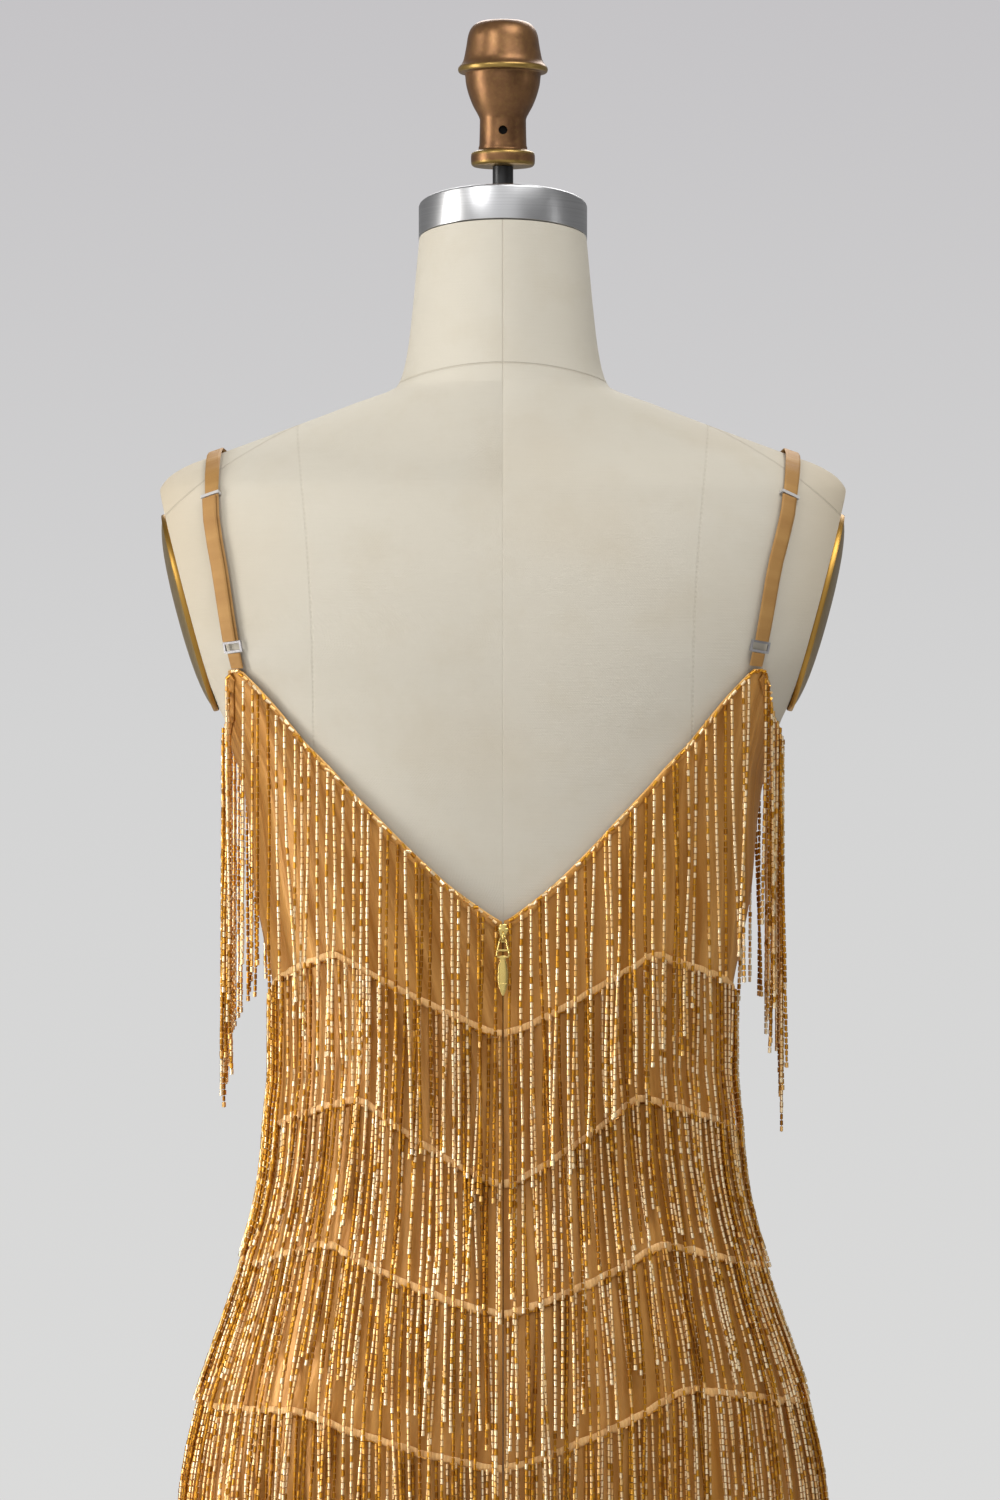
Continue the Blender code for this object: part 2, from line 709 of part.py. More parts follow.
def stand():
    """A round base with a socket, and the pole between it and the form."""
    base = (
        (0.0, SOCKET_FLOOR),
        (POLE_RADIUS + 0.0004, SOCKET_FLOOR), (POLE_RADIUS + 0.0004, BOSS_TOP),
        (BOSS_RADIUS - 0.003, BOSS_TOP), (BOSS_RADIUS, BOSS_TOP - 0.003),
        (BOSS_RADIUS + 0.002, BASE_RISE + 0.008), (BOSS_RADIUS + 0.012, BASE_RISE),
        (BASE_RADIUS * 0.70, BASE_EDGE + 0.005), (BASE_RADIUS - 0.004, BASE_EDGE),
        (BASE_RADIUS, BASE_EDGE - 0.003), (BASE_RADIUS, 0.002), (BASE_RADIUS - 0.002, 0.0),
        (0.0, 0.0),
    )
    turned("base", base, "black_metal", 32)
    low, high = SOCKET_FLOOR + SEAM_GAP, BODY[0, 0] - SEAM_GAP
    pole = ((0.0, low), (POLE_RADIUS, low), (POLE_RADIUS, high), (0.0, high))
    turned("pole", pole, "black_metal", 24)


def surface_of(form):
    """The form's surface before its armholes are cut, for finding points on it."""
    return BVHTree.FromPolygons(
        [tuple(v.co) for v in form.data.vertices],
        [tuple(f.vertices) for f in form.data.polygons],
    )


def strap_way(side, surface):
    """Where a strap lies: pairs of points under its two edges, and the way out of the form there."""
    hits = []
    for turn in np.linspace(STRAP_WAY[0, 0], STRAP_WAY[-1, 0], STRAP_STEPS + 1):
        aim = Vector((0, -math.cos(math.radians(turn)), math.sin(math.radians(turn))))
        start = Vector((side * read_curve(STRAP_WAY, turn)[max(side, 0)], 0, STRAP_MIDDLE))
        point, normal = surface.ray_cast(start, aim)[:2]
        hits.append((point, normal if normal.dot(aim) > 0 else -normal))
    way = []
    for k in range(1, STRAP_STEPS):
        along = (hits[k + 1][0] - hits[k - 1][0]).normalized()
        out = sum((hits[n][1] for n in (k - 1, k, k + 1)), Vector())
        out = (out - along * out.dot(along)).normalized()
        across = along.cross(out) * (STRAP_WIDE / 2)
        if across.x < 0:
            across = -across
        left, right = (surface.find_nearest(hits[k][0] + shift)[0] for shift in (-across, across))
        rise = max(0, (hits[k][0] - (left + right) / 2).dot(out))
        way.append((left + out * rise, right + out * rise, out))
    return way


def on_way(way, share):
    """The place a share of the steps along a strap's way."""
    low = min(int(share), len(way) - 2)
    before, after = way[low], way[low + 1]
    left, right, out = (before[k].lerp(after[k], share - low) for k in range(3))
    return left, right, out.normalized()


def at_height(way, z, from_front=False):
    """How many steps along its way a strap passes a height, at the back or at the front."""
    order = range(len(way) - 1, 0, -1) if from_front else range(len(way) - 1)
    for k in order:
        step = -1 if from_front else 1
        low, high = (sum((w[0].z, w[1].z)) / 2 for w in (way[k], way[k + step]))
        if low <= z <= high:
            return k + step * (z - low) / (high - low)
    return float(len(way) - 1 if from_front else 0)


def band(name, way, first, last, off):
    """The stretch of a strap between two shares of its way, held off the form by some distance."""
    shares = [first] + [k for k in range(len(way)) if first + 0.3 < k < last - 0.3] + [last]
    rings = []
    for share in shares:
        left, right, out = on_way(way, share)
        low, high = out * off, out * (off + STRAP_THICK)
        rings.append([left + low, right + low, right + high, left + high])
    return lofted(name, rings, "gold_cloth")


def metal_loop(name, way, share, off, outer, inner):
    """A metal loop at a place on a strap, as a block less a smaller one. Each is wide, high, deep."""
    left, right, out = on_way(way, share)
    across = (right - left).normalized()
    along = out.cross(across).normalized()
    if along.z < 0:
        along = -along
    out = across.cross(along) if across.cross(along).dot(out) > 0 else along.cross(across)
    middle = (left + right) / 2 + out * off
    place = Matrix.Translation(middle) @ Matrix((across, along, out)).transposed().to_4x4()
    pieces = []
    for piece_name, (wide, high, deep) in ((name, outer), (f"{name}_hole", inner)):
        low = (-wide / 2, -high / 2, -deep / 2)
        piece = block(piece_name, low, [-v for v in low], "silver_metal")
        piece.matrix_world = place
        pieces.append(piece)
    joined(*pieces, "DIFFERENCE")


def straps(surface):
    """Each strap runs from the front over the shoulder to a ring, and doubles back to its adjuster."""
    for side, name in ((1, "right"), (-1, "left")):
        way = strap_way(side, surface)
        ring_top = at_height(way, RING_TOP)
        adjuster = at_height(way, ADJUSTER)
        front_end = at_height(way, tape_height(0, -FRONT_STRAP) + STRAP_CLEAR, True)
        band(f"strap_{name}", way, ring_top, front_end, STRAP_OFF_FORM)
        under_adjuster = at_height(way, ADJUSTER - ADJUSTER_HIGH / 2 - 2 * SEAM_GAP)
        band(f"strap_fold_{name}", way, ring_top, under_adjuster,
             STRAP_OFF_FORM + STRAP_THICK + SEAM_GAP)
        tab_foot = at_height(way, tape_height(0, -BACK_STRAP) + STRAP_CLEAR)
        band(f"strap_tab_{name}", way, tab_foot, at_height(way, RING_BOTTOM), STRAP_OFF_FORM)
        middle = at_height(way, (RING_BOTTOM + RING_TOP) / 2)
        high = RING_TOP - RING_BOTTOM - 2 * SEAM_GAP
        metal_loop(f"strap_ring_{name}", way, middle, STRAP_OFF_FORM + STRAP_THICK / 2,
                   (RING_WIDE, high, RING_BAR), (RING_WIDE - 2 * RING_BAR, high - 2 * RING_BAR, 0.01))
        inner_wide, inner_deep = STRAP_WIDE + 4 * SEAM_GAP, STRAP_THICK + 3 * SEAM_GAP
        bars = 2 * ADJUSTER_BAR
        metal_loop(f"strap_adjuster_{name}", way, adjuster, STRAP_OFF_FORM + STRAP_THICK / 2,
                   (inner_wide + bars, ADJUSTER_HIGH, inner_deep + bars), (inner_wide, 0.01, inner_deep))


def zip_closure():
    """The chain between the two backs, the slider at its top and the pull that hangs from it."""
    rings = []
    for z in np.linspace(ZIP_BOTTOM, SLIDER_TOP - 0.002, 9):
        half = ZIP_HALF_GAP - SEAM_GAP
        inner, outer = (body_point(0, z, out).y for out in (EASE + 0.0003, OUTSIDE - 0.0002))
        rings.append([Vector((-half, inner, z)), Vector((half, inner, z)),
                      Vector((half, outer, z)), Vector((-half, outer, z))])
    lofted("zip_chain", rings, "gold_metal")
    face = body_point(0, SLIDER_TOP, OUTSIDE + SEAM_GAP + 0.0001).y
    bottom = SLIDER_TOP - SLIDER_HIGH
    slider = block("zip_slider", (-SLIDER_HALF_WIDE, face - SLIDER_THICK, bottom),
                   (SLIDER_HALF_WIDE, face, SLIDER_TOP), "gold_metal")
    edge = slider.modifiers.new("rounded corners", "BEVEL")
    edge.width = 0.0005
    edge.segments = 1
    top = face - SLIDER_THICK
    room = BRIDGE_RISE - BRIDGE_BAR
    bridge = block("bridge", (-BRIDGE_HALF_WIDE, top - BRIDGE_RISE, PULL_PIVOT - 0.0026),
                   (BRIDGE_HALF_WIDE, top + 0.0005, PULL_PIVOT + 0.0026), "gold_metal")
    under = block("bridge_room", (-0.003, top - room, PULL_PIVOT - 0.0019),
                  (0.003, top, PULL_PIVOT + 0.0019), "gold_metal")
    joined(bridge, under, "DIFFERENCE")
    joined(slider, bridge, "UNION")
    zip_pull(top - PULL_OFF_SLIDER)


def zip_pull(y):
    """A flat pull with a window that the slider's bridge passes through, and a drop below it."""
    outline = (
        # half_width, height below the pivot
        (0.0024, -0.0005), (0.0034, 0.0010), (0.0035, 0.0060), (0.0022, 0.0078), (0.0020, 0.0092),
        (0.0026, 0.0140), (0.0031, 0.0190), (0.0029, 0.0235), (0.0020, 0.0275), (0.0008, 0.0300),
    )
    rings = []
    for half, down in outline:
        z = -down
        rings.append([Vector((-half, -PULL_THICK / 2, z)), Vector((half, -PULL_THICK / 2, z)),
                      Vector((half, PULL_THICK / 2, z)), Vector((-half, PULL_THICK / 2, z))])
    pull = lofted("zip_pull", rings, "gold_metal")
    window = block("pull_window", (-0.0018, -0.002, -0.0054), (0.0018, 0.002, -0.0005), "gold_metal")
    pull.location = window.location = (0, y, PULL_PIVOT)
    joined(pull, window, "DIFFERENCE")


def main():
    for old in list(bpy.data.objects):
        bpy.data.objects.remove(old)
    dress_panels()
    tier_fringes()
    edge_fringes()
    zip_closure()
    straps(torso())
    arm_plates()
    neck_fittings()
    stand()


main()
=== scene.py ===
# %% [markdown]
# # A gold fringe dress on a dress form
# The dress is satin under six tiers of bead fringe, and one more fringe edges the neck and the
# armholes. The solid model already holds every piece at its real size and place. This lesson
# dresses those solids: it builds the fine shapes, and a finish for each of them.

import math

import bmesh
import bpy
import numpy as np
from mathutils import Matrix, Vector
from mathutils.bvhtree import BVHTree


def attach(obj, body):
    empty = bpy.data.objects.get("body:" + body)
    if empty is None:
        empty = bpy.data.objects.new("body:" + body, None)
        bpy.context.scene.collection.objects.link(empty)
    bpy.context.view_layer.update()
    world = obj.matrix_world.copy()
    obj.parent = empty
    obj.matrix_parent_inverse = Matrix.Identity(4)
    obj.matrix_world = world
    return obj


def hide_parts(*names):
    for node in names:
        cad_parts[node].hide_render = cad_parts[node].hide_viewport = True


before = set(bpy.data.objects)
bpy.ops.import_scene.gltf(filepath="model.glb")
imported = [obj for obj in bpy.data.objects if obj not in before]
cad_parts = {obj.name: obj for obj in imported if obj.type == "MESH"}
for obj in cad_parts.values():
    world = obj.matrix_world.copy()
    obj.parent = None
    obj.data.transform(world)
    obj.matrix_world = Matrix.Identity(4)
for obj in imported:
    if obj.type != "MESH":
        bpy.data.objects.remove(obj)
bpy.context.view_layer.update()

# %% [markdown]
# The photograph shows the back of the dress, straight on, from about three metres away with a
# long lens, so the camera stands level and far off. One pixel is 0.58 mm where the dress is.

# %% Place the camera
PHOTO_HIGH, METRES_PER_PIXEL = 1500, 0.58e-3
CAMERA, SENSOR_HIGH = Vector((-0.0017, -3.0, 1.20)), 36


def only(*pieces):
    """Selects these objects and no others. The last one becomes the active one."""
    bpy.ops.object.select_all(action="DESELECT")
    for piece in pieces:
        piece.select_set(True)
        bpy.context.view_layer.objects.active = piece


only()
bpy.ops.object.camera_add(location=CAMERA, rotation=(math.pi / 2, 0, 0))
camera = bpy.context.object
camera.data.lens = SENSOR_HIGH * -CAMERA.y / (PHOTO_HIGH * METRES_PER_PIXEL)
camera.data.clip_end = 50
bpy.context.scene.camera = camera
print("lens:", round(camera.data.lens), "mm")

# %% [markdown]
# A finish is a small sum: a base colour, plus or minus what wear, weave and grain do to it. The
# helpers below let such a sum be written as one. Every Value stands for one socket.

# %% Helpers for the nodes
class Value:
    """One number that changes over a surface. Sums on it add Math nodes."""

    def __init__(self, nodes, socket):
        self.nodes, self.socket = nodes, socket

    def math(self, operation, *others):
        sockets = dict(enumerate((self, *others)))
        return self.nodes.node("ShaderNodeMath", sockets, operation=operation)

    def __rsub__(self, other):
        return self * -1 + other

    def limited(self):
        return self.math("MAXIMUM", 0).math("MINIMUM", 1)

    def below(self, edge, soft):
        """1 where the number is under an edge, 0 above it, and smooth between the two."""
        return ((edge - self) / soft + 0.5).limited()

    def wave(self, pitch):
        """Up and down between 0 and 1, once in each pitch."""
        return (self * (math.tau / pitch)).math("SINE") * 0.5 + 0.5


for sign, operation in (("add", "ADD"), ("radd", "ADD"), ("mul", "MULTIPLY"),
                        ("rmul", "MULTIPLY"), ("sub", "SUBTRACT"), ("truediv", "DIVIDE"),
                        ("pow", "POWER"), ("abs", "ABSOLUTE")):
    setattr(Value, f"__{sign}__",
            lambda self, *other, operation=operation: self.math(operation, *other))


class Nodes:
    """A node tree: it makes nodes and feeds their sockets."""

    def __init__(self, tree):
        self.tree = tree

    def feed(self, socket, value):
        if isinstance(value, Value):
            self.tree.links.new(value.socket, socket)
        elif isinstance(value, tuple) and len(value) == 3 and socket.type == "RGBA":
            socket.default_value = (*value, 1)
        else:
            socket.default_value = value

    def node(self, kind, sockets=(), out=0, **settings):
        made = self.tree.nodes.new(kind)
        for name, value in settings.items():
            setattr(made, name, value)
        for name, value in dict(sockets).items():
            self.feed(made.inputs[name], value)
        return Value(self, made.outputs[out] if made.outputs else None)

    def axis(self, place, letter):
        return self.node("ShaderNodeSeparateXYZ", {0: place}, out=letter)


class Paint(Nodes):
    """A finish: one shader and the nodes that feed it."""

    def __init__(self, name, **fixed):
        self.material = bpy.data.materials.new(name)
        self.material.use_nodes = True
        super().__init__(self.material.node_tree)
        self.set(**fixed)

    def set(self, **inputs):
        shader = self.tree.nodes["Principled BSDF"]
        for name, value in inputs.items():
            self.feed(shader.inputs[name.replace("_", " ")], value)
        return self

    def attribute(self, name):
        return self.node("ShaderNodeAttribute", attribute_name=name, out="Fac")

    def place(self, scale=(1, 1, 1), of="Object"):
        where = self.node("ShaderNodeTexCoord", out=of)
        return self.node("ShaderNodeMapping", {"Vector": where, "Scale": scale})

    def noise(self, scale, detail=3.0, rough=0.5, of="Object"):
        """Soft random blotches. A scale of three numbers stretches them."""
        one, stretch = (1.0, scale) if isinstance(scale, tuple) else (scale, (1, 1, 1))
        wanted = {"Vector": self.place(stretch, of), "Scale": one, "Detail": detail,
                  "Roughness": rough}
        return self.node("ShaderNodeTexNoise", wanted)

    def weave(self, pitch):
        """The ups and downs of a plain weave on the piece's UV map, from 0 to 1."""
        cloth = self.place(of="UV")
        across, along = ((self.axis(cloth, letter) * (math.tau / pitch)).math("SINE")
                         for letter in "XY")
        return (across * along) * 0.5 + 0.5

    def mix(self, share, first, second):
        wanted = {0: share, 6: first, 7: second}
        return self.node("ShaderNodeMix", wanted, out=2, data_type="RGBA")

    def bump(self, height, deep, strength=1.0):
        wanted = {"Height": height, "Distance": deep, "Strength": strength}
        return self.set(Normal=self.node("ShaderNodeBump", wanted)).material


print("sums on a Value make Math nodes")

# %% [markdown]
# The studio has one tall soft box on the left, two lamps above, a small one on the right and one
# behind. Glass beads show what is round them, so the room that they see is dim but for a bright
# patch behind the camera. That makes each strand a bright line with dark sides. The wall that
# the camera sees is a separate colour, with painted shade that makes it a little darker at the top.

# %% Light the studio
def soft_box(name, place, aim, size, watts, colour=(1, 1, 1)):
    """A square lamp at a place, turned towards a point."""
    bpy.ops.object.light_add(type="AREA", location=place)
    lamp = bpy.context.object
    lamp.name = name
    lamp.data.shape = "RECTANGLE"
    lamp.data.size, lamp.data.size_y = size
    lamp.data.energy, lamp.data.color = watts, colour
    lamp.rotation_euler = (Vector(aim) - Vector(place)).to_track_quat("-Z", "Y").to_euler()


soft_box("key_light", (-3.15, -0.75, 1.4), (0, 0, 1.15), (1.0, 2.8), 85, (1.0, 0.985, 0.96))
soft_box("high_left_light", (-1.5, -2.2, 2.9), (0, 0, 1.1), (1.0, 0.8), 23)
soft_box("overhead_light", (0.9, -1.3, 3.3), (0, 0, 1.2), (1.6, 1.2), 43)
soft_box("right_light", (3.0, -0.75, 1.5), (0, 0, 1.2), (0.3, 1.8), 3)
soft_box("far_light", (0.3, 2.5, 3.2), (0, 0, 1.1), (2.2, 1.4), 50)

LIT_FROM = Vector((-0.14, -0.985, 0.08)).normalized()
FLOOR_WIDE = 6.4
world = bpy.context.scene.world or bpy.data.worlds.new("studio")
bpy.context.scene.world = world
world.use_nodes = True
world.node_tree.nodes.clear()
room = Nodes(world.node_tree)
way = room.node("ShaderNodeTexCoord", out="Generated")
# Painted shade on the wall: its colour darkens from the bottom to the top.
height = room.node("ShaderNodeMapRange",
                   {"Value": room.axis(way, "Z"), "From Min": -0.15, "From Max": 0.15})
wall = room.node("ShaderNodeValToRGB", {0: height})
stops = wall.socket.node.color_ramp.elements
stops[0].color, stops[1].color = (0.71, 0.71, 0.705, 1), (0.555, 0.545, 0.56, 1)
stops.new(0.5).color = (0.655, 0.655, 0.655, 1)
seen = room.node("ShaderNodeBackground", {"Color": wall})
facing = room.node("ShaderNodeVectorMath", {0: way, 1: LIT_FROM}, "Value", operation="DOT_PRODUCT")
bright = room.node("ShaderNodeMapRange", {"Value": facing, "From Min": 0.80, "From Max": 0.92,
                                          "To Min": 0.23, "To Max": 0.88})
felt = room.node("ShaderNodeBackground", {"Color": (1.0, 1.0, 1.01), "Strength": bright})
rays = room.node("ShaderNodeLightPath", out="Is Camera Ray")
both = room.node("ShaderNodeMixShader", {0: rays, 1: felt, 2: seen})
room.node("ShaderNodeOutputWorld", {"Surface": both})
bpy.context.scene.view_settings.view_transform = "Standard"

bpy.ops.mesh.primitive_plane_add(size=FLOOR_WIDE)
floor = bpy.context.object
floor.name = "studio_floor"

# %% [markdown]
# The form is covered with unbleached linen canvas: pale, matt, and with a weave that only just
# shows. Its seams run down the middle of the back, down each shoulder blade, and round the neck.

# %% Canvas
def canvas_finish():
    paint = Paint("linen_canvas", Roughness=0.86)
    body = paint.place()
    x, z = abs(paint.axis(body, "X")), paint.axis(body, "Z")
    threads = paint.weave(0.0009)
    slubs = paint.noise((60, 900, 1), 4.0, of="UV")
    seam_x = 0.107 + ((z - 1.229) / 0.157) ** 2 * 0.0115
    blade = abs(x - seam_x).below(0.0006, 0.0005)
    middle = x.below(0.0004, 0.0005)
    nape_z = 1.4205 - (x / 0.061) ** 2 * 0.0085
    nape = abs(z - nape_z).below(0.0005, 0.0005)
    stitches = z.wave(0.0028) * 0.6 + 0.4
    low_back = z.below(1.40, 0.02)
    seams = (blade * stitches * 0.4 + middle * (0.6 - low_back * 0.4) + nape * 0.8).limited()
    worn = ((paint.noise(9.0) - 0.5) * 3).limited()
    blotchy = ((paint.noise(34.0, 4.0, 0.6) - 0.5) * 3).limited()
    # Painted shade: the canvas turns darker and warmer towards the armholes.
    armhole_shade = 1 - x.below(0.172, 0.05)
    base = (0.540, 0.500, 0.418)
    for share, colour in (
        (worn * 0.8, (0.505, 0.445, 0.345)), (blotchy * 0.45, (0.475, 0.42, 0.32)),
        (armhole_shade * 0.75, (0.52, 0.43, 0.30)),
        ((threads * 0.5 + slubs * 0.5) * 0.22, (0.40, 0.365, 0.29)),
        (seams * 0.5, (0.34, 0.29, 0.22)),
    ):
        base = paint.mix(share, base, colour)
    paint.set(Base_Color=base)
    return paint.bump(threads * 0.35 + slubs * 0.5 - seams * 2.4, 0.0003, 0.7)


canvas = canvas_finish()
print("nodes of the canvas:", len(canvas.node_tree.nodes))

# %% [markdown]
# The dress is cut from a tan gold satin. It shines softly, more along the thread than across
# it, and its colour carries painted light and shade on its soft folds, and a little uneven tone
# along the thread.

# %% Satin
TAPE_HIGH = 0.0045


def satin_finish(name, light, dark, rough, folds=0.002):
    """Satin with soft folds along the thread, and painted light and shade on them. Its UV map is in
    metres.
    """
    paint = Paint(name, Roughness=rough, Metallic=0.22, Specular_IOR_Level=0.4)
    threads = paint.noise((2600, 240, 1), 2.0, of="UV")
    drape = paint.noise((95, 6, 1), 2.0, 0.45, "UV")
    crinkle = paint.noise((240, 60, 1), 3.0, 0.6, "UV")
    # Painted light and shade: the colour is lighter on the raised folds and darker in the troughs.
    tone = ((drape - 0.5) * 2.2 + threads * 0.3 + 0.35).limited()
    paint.set(Base_Color=paint.mix(tone, dark, light))
    height = drape * folds + crinkle * 0.0004 + (threads * 0.6 + paint.weave(0.0006) * 0.3) * 0.0001
    return paint.bump(height * 1000, 0.001, 0.8)


def tape_finish():
    """Pale satin at the tape's upper edge, and over its lower one amber stitches and painted shade.
    """
    paint = Paint("fringe_tape", Roughness=0.46, Metallic=0.1)
    cloth = paint.place(of="UV")
    along, down = paint.axis(cloth, "X"), paint.axis(cloth, "Y") / TAPE_HIGH
    ragged = paint.noise((420, 160, 1), of="UV")
    stitches, crimp = along.wave(0.0030), along.wave(0.0021)
    # The lower band is dark amber: partly the stitches sewn over it, partly painted shade.
    low = 1 - (down + (ragged - 0.5) * 0.6).below(0.84, 0.25)
    pale = paint.mix((ragged * 0.6 + crimp * 0.4), (0.92, 0.58, 0.23), (0.72, 0.40, 0.135))
    paint.set(Base_Color=paint.mix(low * 0.8, pale, (0.36, 0.16, 0.03)))
    return paint.bump(stitches * low * 0.6 + crimp * 0.35 + ragged, 0.0005, 0.7)


# Each cloth is given a lit colour and a shaded colour for the painted light and shade on its folds.
satin = satin_finish("tan_satin", (0.65, 0.335, 0.085), (0.35, 0.135, 0.010), 0.38)
edge_satin = satin_finish("edge_satin", (0.86, 0.52, 0.17), (0.62, 0.31, 0.07), 0.36, 0.0)
strap_satin = satin_finish("strap_satin", (0.40, 0.222, 0.068), (0.31, 0.155, 0.042), 0.60, 0.0002)
# The zip's cloth is near black: painted shade, so that the slit between the satin edges shows as a
# dark line.
zip_shade_cloth = satin_finish("zip_tape_cloth", (0.030, 0.014, 0.006), (0.016, 0.007, 0.003), 0.8, 0.0)
tape_satin = tape_finish()
print("cloths: satin, edge, strap, zip tape and fringe tape")

# %% [markdown]
# The beads are gold glass tubes with a silver lining. The lining throws the light back, so each
# bead is a small amber mirror under clear glass. No two beads of a strand have quite one colour.

# %% Beads
def bead_finish():
    paint = Paint("gold_glass_beads", Metallic=0.80, Coat_IOR=1.7, Coat_Roughness=0.15)
    tone = paint.attribute("tone")
    amber = paint.mix((tone * 1.7).limited(), (0.27, 0.095, 0.003), (0.80, 0.39, 0.032))
    gold = paint.mix((tone * 2.6 - 1.3).limited(), amber, (1.0, 0.78, 0.46))
    paint.set(Base_Color=gold, Roughness=0.44 - tone * 0.14)
    return paint.set(Coat_Weight=(tone * 2.0 - 0.8).limited()).material


def thread_finish():
    paint = Paint("bead_thread", Roughness=0.7)
    twist = paint.noise((900, 900, 900), 2.0)
    return paint.set(Base_Color=paint.mix(twist, (0.28, 0.15, 0.05), (0.46, 0.28, 0.11))).material


bead_glass, thread = bead_finish(), thread_finish()
print("beads and their thread:", bead_glass.name, thread.name)

# %% [markdown]
# The metals differ in how they were worked: gold plate on the zip, dull chrome on the rings,
# steel brushed round the neck cap, old brass on the arm plates, copper that has gone dark but
# for its rims, and black paint.

# %% Metals
def metal_finish(name, colour, dark, rough, grain=(40, 40, 40), amount=0.5, metallic=1.0):
    paint = Paint(name, Metallic=metallic)
    marks = paint.noise(grain, 4.0, 0.6)
    paint.set(Base_Color=paint.mix((marks * 1.4 - 0.2).limited() * amount, colour, dark),
              Roughness=marks * 0.18 + (rough - 0.09))
    return paint.bump(marks, 0.0001, 0.3)


def copper_finish():
    """Aged copper: brown, greenish gold where the rims are rubbed, and a near black painted shade
    in its hole.
    """
    paint = Paint("aged_copper", Metallic=0.75)
    blotch = paint.noise(55.0, 5.0, 0.65)
    fine = paint.noise(420.0)
    brown = paint.mix((blotch * 1.8 - 0.4).limited(), (0.10, 0.044, 0.018), (0.26, 0.130, 0.052))
    brown = paint.mix((blotch * 3 - 1.9).limited() * 0.7, brown, (0.31, 0.215, 0.09))
    worn = (paint.attribute("rubbed") * 1.3 + (fine - 0.5) * 0.8).limited()
    base = paint.mix(worn * 0.75, brown, (0.33, 0.22, 0.055))
    # Painted shade: the inside of the screw hole is near black.
    paint.set(Base_Color=paint.mix(paint.attribute("deep"), base, (0.004, 0.003, 0.002)),
              Roughness=fine * 0.15 + 0.30 - worn * 0.06)
    return paint.bump(blotch * 0.6 + fine * 0.4, 0.0003, 0.5)


gold_plate = metal_finish("gold_plate", (0.76, 0.58, 0.20), (0.50, 0.33, 0.09), 0.26)
old_brass = metal_finish("old_brass", (0.44, 0.25, 0.055), (0.25, 0.135, 0.03), 0.42)
dark_brass = metal_finish("dark_brass", (0.36, 0.265, 0.13), (0.21, 0.15, 0.07), 0.36, metallic=0.8)
chrome = metal_finish("worn_chrome", (0.58, 0.565, 0.55), (0.36, 0.35, 0.34), 0.40, metallic=0.35)
dull_chrome = metal_finish("dull_chrome", (0.34, 0.33, 0.335), (0.20, 0.19, 0.20), 0.40,
                           metallic=0.5)
steel = metal_finish("brushed_steel", (0.63, 0.63, 0.635), (0.36, 0.36, 0.365), 0.32,
                     (6, 6, 1900), 0.8)
black = metal_finish("black_paint", (0.018, 0.018, 0.019), (0.03, 0.03, 0.03), 0.38, metallic=0.4)
copper = copper_finish()
print("finishes:", len(bpy.data.materials))

# %% [markdown]
# The next helpers finish any piece in the same way: its place goes into its mesh, it gets its
# finish and its smooth edges, and it rides on the body that carries it.

# %% Helpers for the pieces
def finish_piece(piece, name, finish, replaces=(), body="dress_on_form", smooth=40):
    """Names a piece and gives it its finish, its shading, its body and the solids it stands for."""
    only(piece)
    bpy.ops.object.transform_apply(location=True, rotation=True, scale=True)
    if smooth:
        bpy.ops.object.shade_smooth_by_angle(angle=math.radians(smooth))
    piece.name = piece.data.name = name
    piece.data.materials.clear()
    piece.data.materials.append(finish)
    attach(piece, body)
    if replaces:
        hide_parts(*replaces)
    return piece


def apply_modifier(piece, kind, **settings):
    """Adds a modifier, sets it and applies it."""
    only(piece)
    change = piece.modifiers.new(kind.lower(), kind)
    for name, value in settings.items():
        setattr(change, name, value)
    bpy.ops.object.modifier_apply(modifier=change.name)
    return piece


def piece_of(name, mesh):
    piece = bpy.data.objects.new(name, mesh)
    bpy.context.scene.collection.objects.link(piece)
    return piece


def piece_from(name, points, faces, uv=None):
    """A new object from points and faces, with a UV map from one pair per point."""
    mesh = bpy.data.meshes.new(name)
    mesh.from_pydata(np.asarray(points, float).reshape(-1, 3).tolist(), [], faces)
    if uv is not None:
        layer = mesh.uv_layers.new(name="cloth")
        corner = np.empty(len(mesh.loops), np.int32)
        mesh.loops.foreach_get("vertex_index", corner)
        flat = np.asarray(uv, np.float32).reshape(-1, 2)
        layer.data.foreach_set("uv", flat[corner].ravel())
    return piece_of(name, mesh)


def mark(mesh, name, values, kind="FLOAT", where="POINT"):
    """Writes one number for each point, or each edge, into a mesh."""
    mesh.attributes.new(name, kind, where).data.foreach_set("value", values)


def changed(piece, *changes):
    """Runs bmesh changes on a piece and turns its faces outwards."""
    mesh = bmesh.new()
    mesh.from_mesh(piece.data)
    for change in changes:
        change(mesh)
    bmesh.ops.recalc_face_normals(mesh, faces=mesh.faces)
    mesh.to_mesh(piece.data)
    mesh.free()
    return piece


def sheet_faces(rows, columns, closed=False, capped=False):
    """The quads of a grid of points, row by row, and the two faces that close a tube of them."""
    faces = [
        (r * columns + c, r * columns + (c + 1) % columns,
         (r + 1) * columns + (c + 1) % columns, (r + 1) * columns + c)
        for r in range(rows - 1)
        for c in range(columns if closed or capped else columns - 1)
    ]
    if capped:
        last = rows * columns
        faces += [tuple(range(columns))[::-1], tuple(range(last - columns, last))]
    return faces


